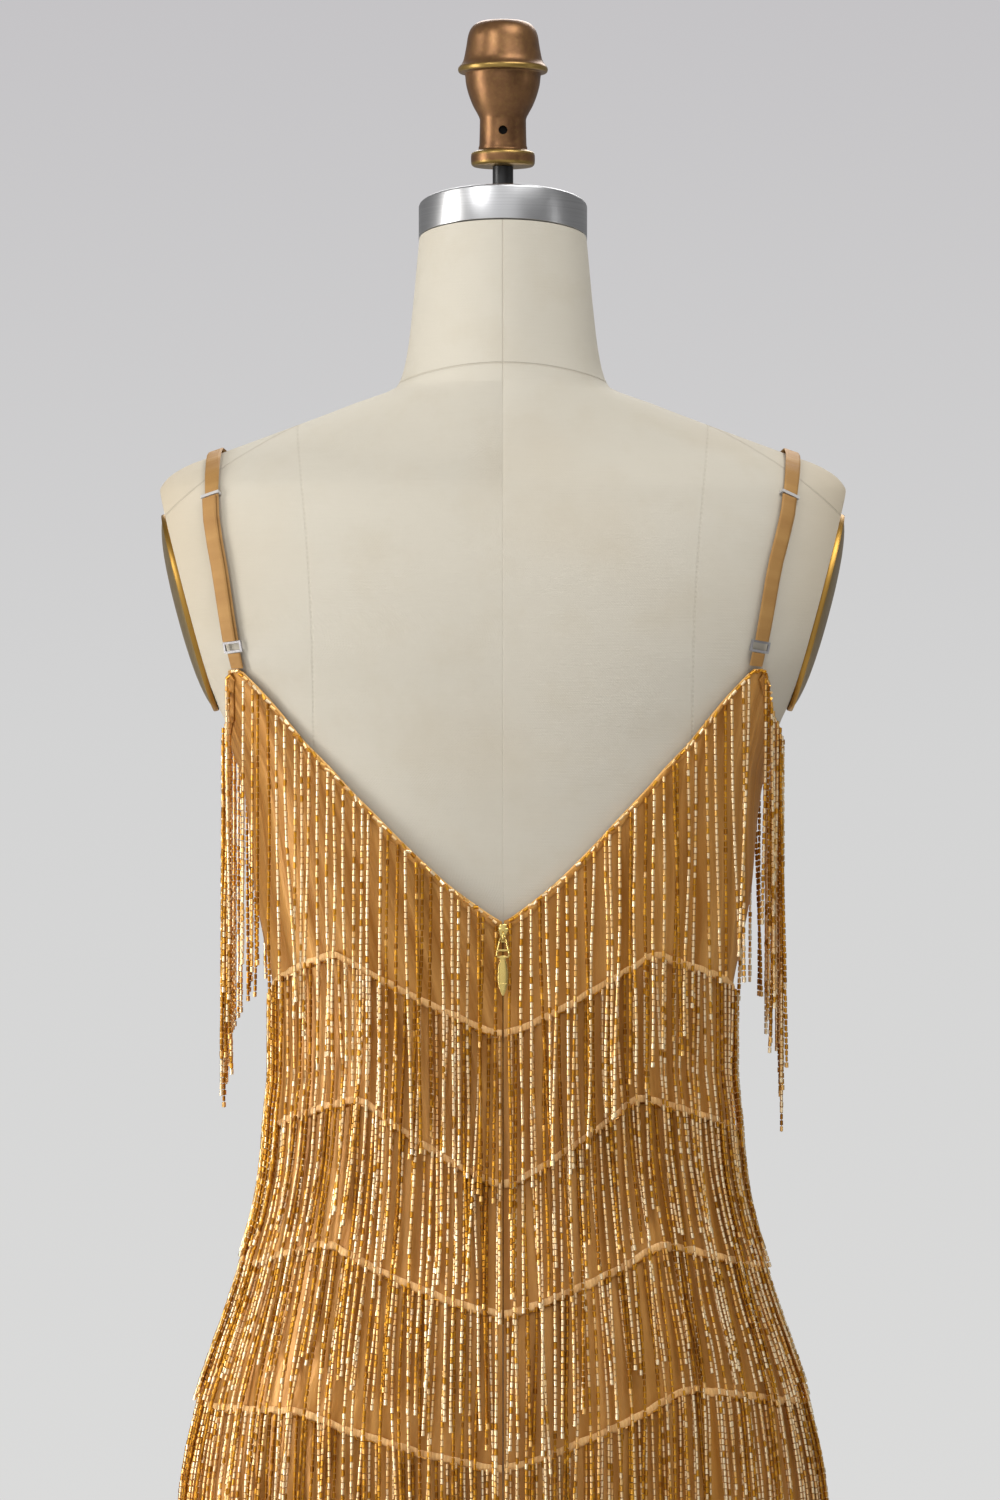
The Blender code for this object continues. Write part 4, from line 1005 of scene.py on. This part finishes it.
ROLL_RADIUS, ROLL_END = 0.00095, 0.0009
edge_angle = even_angles(0, 0.05, 359.95, 0.003)
edge_line = body_points(edge_angle, tape_height(0, edge_angle) + 0.0001, SATIN_OUT + 0.0002)
edge_line[0, 0], edge_line[-1, 0] = ROLL_END, -ROLL_END
rolled = tube("rolled_edge", edge_line, ROLL_RADIUS)
finish_piece(rolled, "rolled_edge", edge_satin, smooth=60)
print("rolled edge:", len(edge_line), "points")

# %% [markdown]
# The straps are narrow satin tubes, pressed flat. Each runs from the front over the shoulder to
# a ring and doubles back to its adjuster. Its path was found by shining a ray from inside the
# form through a few directions, so that the strap always lies on the form.

# %% The straps
STRAP_WIDE, STRAP_THICK, STRAP_OFF_FORM, ASKEW = 0.009, 0.0011, 0.0021, 0.0006
STRAP_MIDDLE, STRAP_STEPS, STRAP_CLEAR = 1.235, 28, 0.0016
RING_BOTTOM, RING_TOP, ADJUSTER, ADJUSTER_HIGH, SEAM = 1.2555, 1.2625, 1.3440, 0.0018, 0.0003
STRAP_WAY = np.array([
    # turn from the back over the shoulder, distance of the left strap and of the right
    (5.0, 0.1475, 0.1400), (17.0, 0.1510, 0.1437), (43.7, 0.1583, 0.1520),
    (62.6, 0.1650, 0.1618), (85.0, 0.1662, 0.1658), (115.0, 0.1520, 0.1520),
    (150.0, 0.1190, 0.1190), (172.0, 0.1040, 0.1040),
])
STRAP_OUTLINE = ((-1, 0.5), (-0.94, 0.86), (-0.7, 1), (0, 0.94), (0.7, 1), (0.94, 0.86),
                 (1, 0.5), (0.94, 0.14), (0.7, 0), (-0.7, 0), (-0.94, 0.14))


def strap_way(side):
    """Where a strap lies: points under its left edge and its right one, and the way out there."""
    hits = []
    for turn in np.linspace(STRAP_WAY[0, 0], STRAP_WAY[-1, 0], STRAP_STEPS + 1):
        aim = Vector((0, -math.cos(math.radians(turn)), math.sin(math.radians(turn))))
        start = Vector((side * read_table(STRAP_WAY, turn)[max(side, 0)], 0, STRAP_MIDDLE))
        point, normal = form_surface.ray_cast(start, aim)[:2]
        hits.append((point, normal if normal.dot(aim) > 0 else -normal))
    way = []
    for k in range(1, STRAP_STEPS):
        along = (hits[k + 1][0] - hits[k - 1][0]).normalized()
        out = sum((hits[n][1] for n in (k - 1, k, k + 1)), Vector())
        out = (out - along * out.dot(along)).normalized()
        across = along.cross(out) * (STRAP_WIDE / 2)
        across = -across if across.x < 0 else across
        left, right = (form_surface.find_nearest(hits[k][0] + s)[0] for s in (-across, across))
        rise = max(0, (hits[k][0] - (left + right) / 2).dot(out))
        way.append((left + out * rise, right + out * rise, out))
    return way


def on_way(way, share):
    low = max(0, min(int(share), len(way) - 2))
    left, right, out = (way[low][k].lerp(way[low + 1][k], share - low) for k in range(3))
    return left, right, out.normalized()


def at_height(way, z, from_front=False):
    """How many steps along its way a strap passes a height, at the back or at the front."""
    order = range(len(way) - 1, 0, -1) if from_front else range(len(way) - 1)
    step = -1 if from_front else 1
    for k in order:
        low, high = ((way[n][0].z + way[n][1].z) / 2 for n in (k, k + step))
        if low <= z <= high:
            return k + step * (z - low) / (high - low)
    return float(len(way) - 1 if from_front else 0)


def band(name, way, first, last, off, node, aside=0.0):
    """A stretch of a strap between two shares of its way, with soft edges."""
    points, uv, run, before = [], [], 0.0, None
    shares = np.linspace(first, last, max(8, int((last - first) * 4)))
    for share in shares:
        left, right, out = on_way(way, share)
        half = (right - left) / 2
        middle = (left + right) / 2 + half.normalized() * aside
        run += (middle - before).length if before else 0.0
        before = middle
        for across, high in STRAP_OUTLINE:
            points.append(middle + half * across + out * (off + STRAP_THICK * high))
            uv.append((run, across * STRAP_WIDE / 2))
    faces = sheet_faces(len(shares), len(STRAP_OUTLINE), capped=True)
    made = changed(piece_from(name, points, faces, uv))
    finish_piece(made, name, strap_satin, [node], smooth=50)


for side, name in ((1, "right"), (-1, "left")):
    way = strap_way(side)
    ring_top = at_height(way, RING_TOP)
    front_end = at_height(way, float(tape_height(0, FRONT_STRAP)) + STRAP_CLEAR - 0.003, True)
    under_adjuster = at_height(way, ADJUSTER - ADJUSTER_HIGH / 2 - 2 * SEAM)
    tab_foot = at_height(way, float(tape_height(0, BACK_STRAP)) - 0.002)
    band(f"strap_{name}_satin", way, ring_top - 0.02, front_end, STRAP_OFF_FORM,
         f"strap_{name}", ASKEW)
    band(f"strap_{name}_doubled", way, ring_top - 0.02, under_adjuster,
         STRAP_OFF_FORM + STRAP_THICK + SEAM, f"strap_fold_{name}", -ASKEW)
    band(f"strap_{name}_tab", way, tab_foot, at_height(way, RING_BOTTOM), STRAP_OFF_FORM,
         f"strap_tab_{name}")
for node, finish in (("strap_ring", dull_chrome), ("strap_adjuster", chrome)):
    for side in ("left", "right"):
        fitting = bpy.data.objects[f"{node}_{side}"].data
        fitting.materials.clear()
        fitting.materials.append(finish)
print("straps: two, each with its fold, its tab, a ring and an adjuster")

# %% [markdown]
# A strand hangs straight down until the body is in its way, and then follows it. Over the next
# tape it lies on that tier's strands, and its last beads lie on those of one more tier. It leans
# a little, and neighbours lean together, which makes the clumps and gaps of real fringe.

# %% How the strands hang
INNER, OUTER, TOP_LAYER = 0.0062, 0.0086, 0.0106
RISE_FROM, RISE_TO = 0.045, 0.003
LEAN_ALONE, LEAN_SHARED, BEND = 0.014, 0.028, 0.016
SHARED_WAVES = (0.9, 1.7, 2.6)
DEPTHS = (-0.0005, 0.0008)
FREE_AFTER, BEND_LONG = 0.06, 0.02


def layer_out(tier, angle, z):
    """How far out a tier's strands lie: on the cloth, then on the next tiers' strands."""
    out = np.full(np.shape(z), INNER)
    for step, rise in ((1, OUTER - INNER), (2, TOP_LAYER - OUTER)):
        if tier + step <= TIERS:
            above = z - tape_height(tier + step, angle)
            out = out + rise * np.clip((RISE_FROM - above) / (RISE_FROM - RISE_TO), 0, 1)
    return out


def hang(tier, angle, top, lengths, pitch, seed):
    """The points of each strand, a bead apart, from its tape down."""
    luck = np.random.default_rng(seed)
    count = len(angle)
    order = np.arange(count)
    shared = sum(np.sin(order * f + luck.uniform(0, math.tau)) for f in SHARED_WAVES) / 2
    lean = LEAN_ALONE * luck.normal(0, 1, count) + LEAN_SHARED * shared
    lean *= np.clip(np.abs(order - (count - 1) / 2) + 1, 0, 6) / 6 if tier == 0 else 1
    bend = luck.normal(0, BEND, count)
    depth = luck.uniform(*DEPTHS, count)
    at = body_points(angle, top, INNER + depth)
    line, off = [at], INNER + depth
    for k in range(int(np.ceil(lengths.max() / pitch))):
        turn, z = body_angle(at), at[:, 2]
        side = unit(body_points(turn + 0.5, z, 0) - body_points(turn - 0.5, z, 0))
        fallen = k * pitch
        drift = lean * min(1, 0.25 + fallen / FREE_AFTER) + bend * math.sin(fallen / BEND_LONG)
        down = at + side * (drift * pitch)[:, None]
        down[:, 2] -= pitch
        down = pushed_out(down, layer_out(tier, turn, down[:, 2]) + depth, off)
        off = layer_out(tier, turn, down[:, 2]) + depth
        move = down - at
        at = at + move * (pitch / np.linalg.norm(move, axis=1))[:, None]
        line.append(at)
    return np.stack(line, axis=1)


print("strands lie", INNER * 1000, "to", TOP_LAYER * 1000, "mm off the body")

# %% [markdown]
# One bead is modelled, a square glass tube as bugle beads often are, and copied along every
# strand. All beads of a fringe become one mesh. Each copy gets a number of its own, its tone,
# and the finish turns that into the depth of its gold.

# %% Beads along the strands
BEAD_RADIUS, BEAD_SHARE, BEAD_PITCH = 0.00104, 0.87, 0.0035
DIM_SHARE, FAINT_SHARE = 0.30, 0.09
DIM_TONE, BRIGHT_TONE = 0.22, 0.74
LAST_WIDER, LAST_DIM, LAST_BRIGHT = 1.15, 0.6, 1.0
SEEN_TIERS, TIER_SPACING, TIER_LONG = 4, 0.0048, 0.154
UNSEEN_SPACING, UNSEEN_PITCH = 0.0052, 0.0042
# How long the strands of an armhole are at some angles, as a share of the longest
ARMHOLE_TURNS = (55, 62, 72, 82, 92, 102, 120, 148)
ARMHOLE_SHARES = (0.73, 0.80, 0.92, 1.0, 0.98, 0.80, 0.70, 0.66)
THREAD_TURNS = (0, 2.094, 4.189)


def bead_pattern(sides=4):
    """The corners and faces of one bead, a unit tube along Z."""
    only()
    bpy.ops.mesh.primitive_cylinder_add(vertices=sides, radius=1, depth=1, location=(0, 0, 0))
    made = bpy.context.object
    corners = np.array([v.co[:] for v in made.data.vertices])
    faces = [tuple(f.vertices) for f in made.data.polygons]
    bpy.data.objects.remove(made)
    return corners, faces


BEAD_CORNERS, BEAD_FACES = bead_pattern()


def copies(name, centre, axis, long, radius, tone, luck):
    """One mesh of beads at some centres, along some axes, each with its length, width and tone."""
    count = len(centre)
    u = unit(np.cross(axis, np.where(np.abs(axis[:, 2:3]) < 0.9, (0, 0, 1), (1, 0, 0))))
    v = np.cross(axis, u)
    roll = luck.uniform(0, math.tau, count)[:, None]
    first = u * np.cos(roll) + v * np.sin(roll)
    second = np.cross(axis, first)
    x, y, z = BEAD_CORNERS.T
    points = centre[:, None]
    for way, corner, size in ((first, x, radius), (second, y, radius), (axis, z, long)):
        points = points + way[:, None] * (corner[:, None] * size[:, None, None])
    corners = np.concatenate([np.array(f) for f in BEAD_FACES])
    loops = (corners[None] + len(BEAD_CORNERS) * np.arange(count)[:, None]).ravel()
    totals = np.tile([len(f) for f in BEAD_FACES], count)
    starts = np.concatenate([[0], np.cumsum(totals)[:-1]])
    mesh = bpy.data.meshes.new(name)
    mesh.vertices.add(count * len(BEAD_CORNERS))
    mesh.vertices.foreach_set("co", points.astype(np.float32).ravel())
    mesh.loops.add(len(loops))
    mesh.loops.foreach_set("vertex_index", loops.astype(np.int32))
    mesh.polygons.add(len(totals))
    mesh.polygons.foreach_set("loop_start", starts.astype(np.int32))
    mesh.update(calc_edges=True)
    mesh.validate()
    # The long faces are smooth, and the edges round the two ends are sharp.
    is_side = np.array([len({z[v] > 0 for v in f}) == 2 for f in BEAD_FACES])
    mesh.polygons.foreach_set("use_smooth", np.tile(is_side, count))
    edges = np.empty(2 * len(mesh.edges), np.int32)
    mesh.edges.foreach_get("vertices", edges)
    same_end = (z[edges[::2] % len(z)] > 0) == (z[edges[1::2] % len(z)] > 0)
    mark(mesh, "sharp_edge", same_end, "BOOLEAN", "EDGE")
    mark(mesh, "tone", np.repeat(tone, len(BEAD_CORNERS)).astype(np.float32))
    return piece_of(name, mesh)


def threads(name, lines, counts, radius=0.00028, every=7):
    """A fine three-sided thread through the beads of each strand."""
    corners = [radius * np.array([math.cos(turn), math.sin(turn), 0]) for turn in THREAD_TURNS]
    points, faces = [], []
    for line, count in zip(lines, counts):
        kept = sorted({*range(0, count, every), count})
        start = len(points)
        points += [line[k] + corner for k in kept for corner in corners]
        for r in range(len(kept) - 1):
            for c in range(3):
                a, b = start + 3 * r + c, start + 3 * r + (c + 1) % 3
                faces.append((a, a + 3, b + 3, b))
        last = start + 3 * (len(kept) - 1)
        faces += [(start, start + 1, start + 2), (last + 2, last + 1, last)]
    return piece_from(name, points, faces)


def strand_lengths(name, angle, long):
    """The strands at the side of an armhole are longer than those beside its straps."""
    if "armhole" not in name:
        return np.full(len(angle), long)
    return long * np.interp(folded(angle), ARMHOLE_TURNS, ARMHOLE_SHARES)


def fringe(name, tier, first, last, spacing, long, high, seed, pitch=BEAD_PITCH):
    """The beads and threads of one fringe, sewn along a tape between two angles."""
    luck = np.random.default_rng(seed)
    angle = even_angles(tier, first, last, spacing, INNER)
    angle = (angle[:-1] + angle[1:]) / 2
    angle = angle + luck.normal(0, 0.17, len(angle)) * np.gradient(angle)
    sewn_at = (0.2, 0.65) if tier == 0 else (0.5, 0.9)
    top = tape_height(tier, angle) - high * luck.uniform(*sewn_at, len(angle))
    lengths = strand_lengths(name, angle, long) * luck.normal(1.0, 0.045, len(angle))
    lines = hang(tier, angle, top, lengths, pitch, seed + 1)
    counts = np.minimum((lengths / pitch).astype(int), lines.shape[1] - 1)
    kept = np.arange(lines.shape[1] - 1)[None] < counts[:, None]
    lower, upper = lines[:, 1:][kept], lines[:, :-1][kept]
    amount = len(lower)
    axis = unit(unit(lower - upper) + luck.normal(0, 0.018, lower.shape))
    dim = luck.random(len(angle)) < DIM_SHARE
    strand_tone = np.where(dim, DIM_TONE, BRIGHT_TONE) + luck.normal(0, 0.07, len(angle))
    tone = np.repeat(strand_tone, counts) + luck.normal(0, 0.13, amount)
    tone = np.clip(np.where(luck.random(amount) < FAINT_SHARE, tone * 0.35, tone), 0, 1)
    last_bead = np.cumsum(counts) - 1
    tone[last_bead] = np.where(dim, LAST_DIM, LAST_BRIGHT)
    long_here = pitch * BEAD_SHARE * luck.uniform(0.90, 1.0, amount)
    radius = BEAD_RADIUS * luck.uniform(0.86, 1.06, amount)
    radius[last_bead] = BEAD_RADIUS * LAST_WIDER
    beads = copies(f"beads_{name}", (lower + upper) / 2, axis, long_here, radius, tone, luck)
    finish_piece(beads, f"beads_{name}", bead_glass, [f"fringe_{name}"], smooth=None)
    cords = threads(f"threads_{name}", lines, counts)
    finish_piece(cords, f"threads_{name}", thread, smooth=None)
    return amount, len(angle)


made = [
    fringe(name, 0, first, last, spacing, long, EDGE_TAPE_HIGH, 100 + k)
    for k, (name, first, last, spacing, long) in enumerate(EDGES)
]
for tier in range(1, TIERS + 1):
    spacing, pitch = ((TIER_SPACING, BEAD_PITCH) if tier <= SEEN_TIERS
                      else (UNSEEN_SPACING, UNSEEN_PITCH))
    made.append(fringe(f"tier_{tier}", tier, 0.1, 359.9, spacing, TIER_LONG, TAPE_HIGH,
                       200 + tier, pitch))
print("beads:", sum(m[0] for m in made), "strands:", sum(m[1] for m in made))

# %% [markdown]
# More beads are sewn flat along the rolled edge, end to end but never quite in line. Small dark
# ones hold each strand to its tape.

# %% Beads of the edge and the tapes
def flat_beads(name, tier, spacing, drop, out, wide, share, tone, askew, seed):
    """A row of beads along a tape's line, a share of them left out."""
    luck = np.random.default_rng(seed)
    angle = even_angles(tier, 0.8, 359.2, spacing)
    kept = luck.random(len(angle) - 1) < share
    start, end = (body_points(some[kept], tape_height(tier, some[kept]) - drop, out)
                  for some in (angle[:-1], angle[1:]))
    way = end - start
    axis = unit(unit(way) + luck.normal(0, askew, way.shape))
    centre = (start + end) / 2 + np.array([[0, 0, 1]]) * luck.normal(0, 0.0003, (len(way), 1))
    tones = np.clip(tone + luck.normal(0, 0.2, len(way)), 0, 1)
    long = np.linalg.norm(way, axis=1) * 0.86
    row = copies(name, centre, axis, long, np.full(len(way), wide), tones, luck)
    finish_piece(row, name, bead_glass, smooth=None)
    return len(way)


flat = flat_beads("beads_rolled_edge", 0, spacing=0.0027, drop=0.0004, out=OUTSIDE + 0.0011,
                  wide=0.00105, share=0.88, tone=0.62, askew=0.28, seed=300)
for tier in range(1, TIERS + 1):
    flat += flat_beads(f"stitch_beads_tier_{tier}", tier, spacing=0.0032, drop=TAPE_HIGH * 0.95,
                       out=TAPE_OUT + 0.0006, wide=0.0006, share=0.7, tone=0.20, askew=0.2,
                       seed=310 + tier)
print("flat beads:", flat)

# %% [markdown]
# The zip is a concealed one. Its coil lies behind the two folded edges of satin, so that only a
# dark line shows, with the brass slider at its top; coil and tape are near black, painted shade in
# the slit. The pull hangs from the slider's bridge by a small bail, and turns about it.

# %% The zip
SLIDER_TOP, SLIDER_HIGH, PULL_PIVOT, PIVOT_Y = 1.1015, 0.0100, 1.0945, -0.084261
ZIP_BOTTOM, TOOTH_PITCH = 0.8885, 0.0015
TOOTH_SIZE = (0.0022, 0.0008, 0.0009)
COIL_OUT, ZIP_TAPE_OUT, ZIP_TAPE_HALF, ZIP_TAPE_THICK = 0.0021, 0.0011, 0.004, 0.0005
WIRE = {"bridge": 0.0005, "bail": 0.0006, "bar": 0.0008, "line": 0.0002}
FLAT = Matrix.Diagonal((1, 0.30, 1, 1))
SLIDER_SHAPE = (
    (0.0016, 0.0), (0.0021, 0.0004), (0.0024, 0.0018), (0.0023, 0.0034), (0.0027, 0.0052),
    (0.0040, 0.0066), (0.0041, 0.0073), (0.0030, 0.0082), (0.0026, 0.0094), (0.0018, 0.0102),
    (0.0007, 0.0105),
)
# From the bail down, as radius and distance below the pivot
DROP_SHAPE = (
    (0.0012, 0.0104), (0.0019, 0.0108), (0.0020, 0.0118), (0.0017, 0.0126), (0.0018, 0.0136),
    (0.0024, 0.0158), (0.0029, 0.0188), (0.0031, 0.0222), (0.0029, 0.0252), (0.0023, 0.0284),
    (0.0015, 0.0308), (0.0008, 0.0324), (0.0005, 0.0329),
)
BAIL_LINE = (
    (0.0, -0.0004), (0.0012, -0.0001), (0.0017, 0.0014), (0.0021, 0.0034), (0.0028, 0.0062),
    (0.0034, 0.0088), (0.0035, 0.0104), (0.0028, 0.0112), (0.0, 0.0112),
)


def joined(piece, *others):
    """Joins other pieces into one."""
    only(*others, piece)
    bpy.ops.object.join()
    return piece


def zip_coil():
    """One tooth is a small rounded bar; an array of them makes the coil."""
    only()
    bpy.ops.mesh.primitive_cube_add(size=1, location=(0, 0, 0))
    tooth = bpy.context.object
    tooth.data.transform(Matrix.Diagonal((*TOOTH_SIZE, 1)))
    apply_modifier(tooth, "BEVEL", width=0.0002, segments=1)
    count = int((SLIDER_TOP - 0.003 - ZIP_BOTTOM) / TOOTH_PITCH)
    apply_modifier(tooth, "ARRAY", count=count, use_relative_offset=False,
                   use_constant_offset=True, constant_offset_displace=(0, 0, TOOTH_PITCH))
    for v in tooth.data.vertices:
        z = v.co.z + ZIP_BOTTOM
        v.co.z = z
        v.co.y += float(body_points(0, z, COIL_OUT)[1])
    finish_piece(tooth, "zip_coil", zip_shade_cloth, ["zip_chain"])
    return count


def zip_tape():
    """The woven tape behind the coil, near black as painted shade in the slit."""
    z = np.linspace(ZIP_BOTTOM - 0.01, SLIDER_TOP - 0.001, 60)
    points = np.array([body_points(0, z, ZIP_TAPE_OUT) + (x, 0, 0)
                       for x in (-ZIP_TAPE_HALF, 0, ZIP_TAPE_HALF)])
    strip = cloth_from("zip_tape", points, points[..., [0, 2]], ZIP_TAPE_THICK)
    finish_piece(strip, "zip_tape", zip_shade_cloth)


def zip_slider():
    """The slider's front plate, drawn up ring by ring and flattened, and its bridge."""
    plate = turned(smooth_profile(SLIDER_SHAPE), 20)
    face = float(body_points(0, SLIDER_TOP, OUTSIDE + 0.0004)[1])
    plate.data.transform(Matrix.Translation((0, face - 0.0009, SLIDER_TOP - SLIDER_HIGH)) @ FLAT)
    bridge = [(0, face - 0.0014 - 0.0026 * math.sin(t), PULL_PIVOT + 0.0004 + 0.0024 * math.cos(t))
              for t in np.linspace(0, math.pi, 9)]
    joined(plate, tube("bridge", bridge, WIRE["bridge"], 8))
    finish_piece(plate, "zip_slider_brass", gold_plate, ["zip_slider"], smooth=45)


def zip_pull():
    """A lens-shaped drop below a small bail, as one piece that turns about the bridge."""
    drop = turned(smooth_profile(DROP_SHAPE), 28)
    drop.data.transform(Matrix.Diagonal((1, 1, -1, 1)) @ FLAT)
    ring = [*BAIL_LINE, *((-half, down) for half, down in BAIL_LINE[-2:0:-1])]
    bail = tube("bail", [(half, 0, -down) for half, down in ring], WIRE["bail"], 8, closed=True)
    bar = tube("bar", [(x, 0, -0.0074) for x in (-0.0029, 0.0, 0.0029)], WIRE["bar"], 8)
    line = tube("line", [(x, -0.00078, -0.0262) for x in (-0.0020, 0.0, 0.0020)], WIRE["line"])
    changed(joined(drop, bail, bar, line))
    drop.data.transform(Matrix.Translation((0, PIVOT_Y, PULL_PIVOT)))
    finish_piece(drop, "zip_pull_brass", gold_plate, ["zip_pull"], body="pull",
                 smooth=45)


print("teeth of the zip:", zip_coil())
zip_tape()
zip_slider()
zip_pull()

# %% [markdown]
# The triangles of the visual model are counted.

# %% Count the triangles
counts = {o.name: len(o.data.loops) - 2 * len(o.data.polygons)
          for o in bpy.data.objects if o.type == "MESH" and o.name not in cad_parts}
most = max(counts, key=counts.get)
print("triangles:", sum(counts.values()), "most:", most, counts[most])
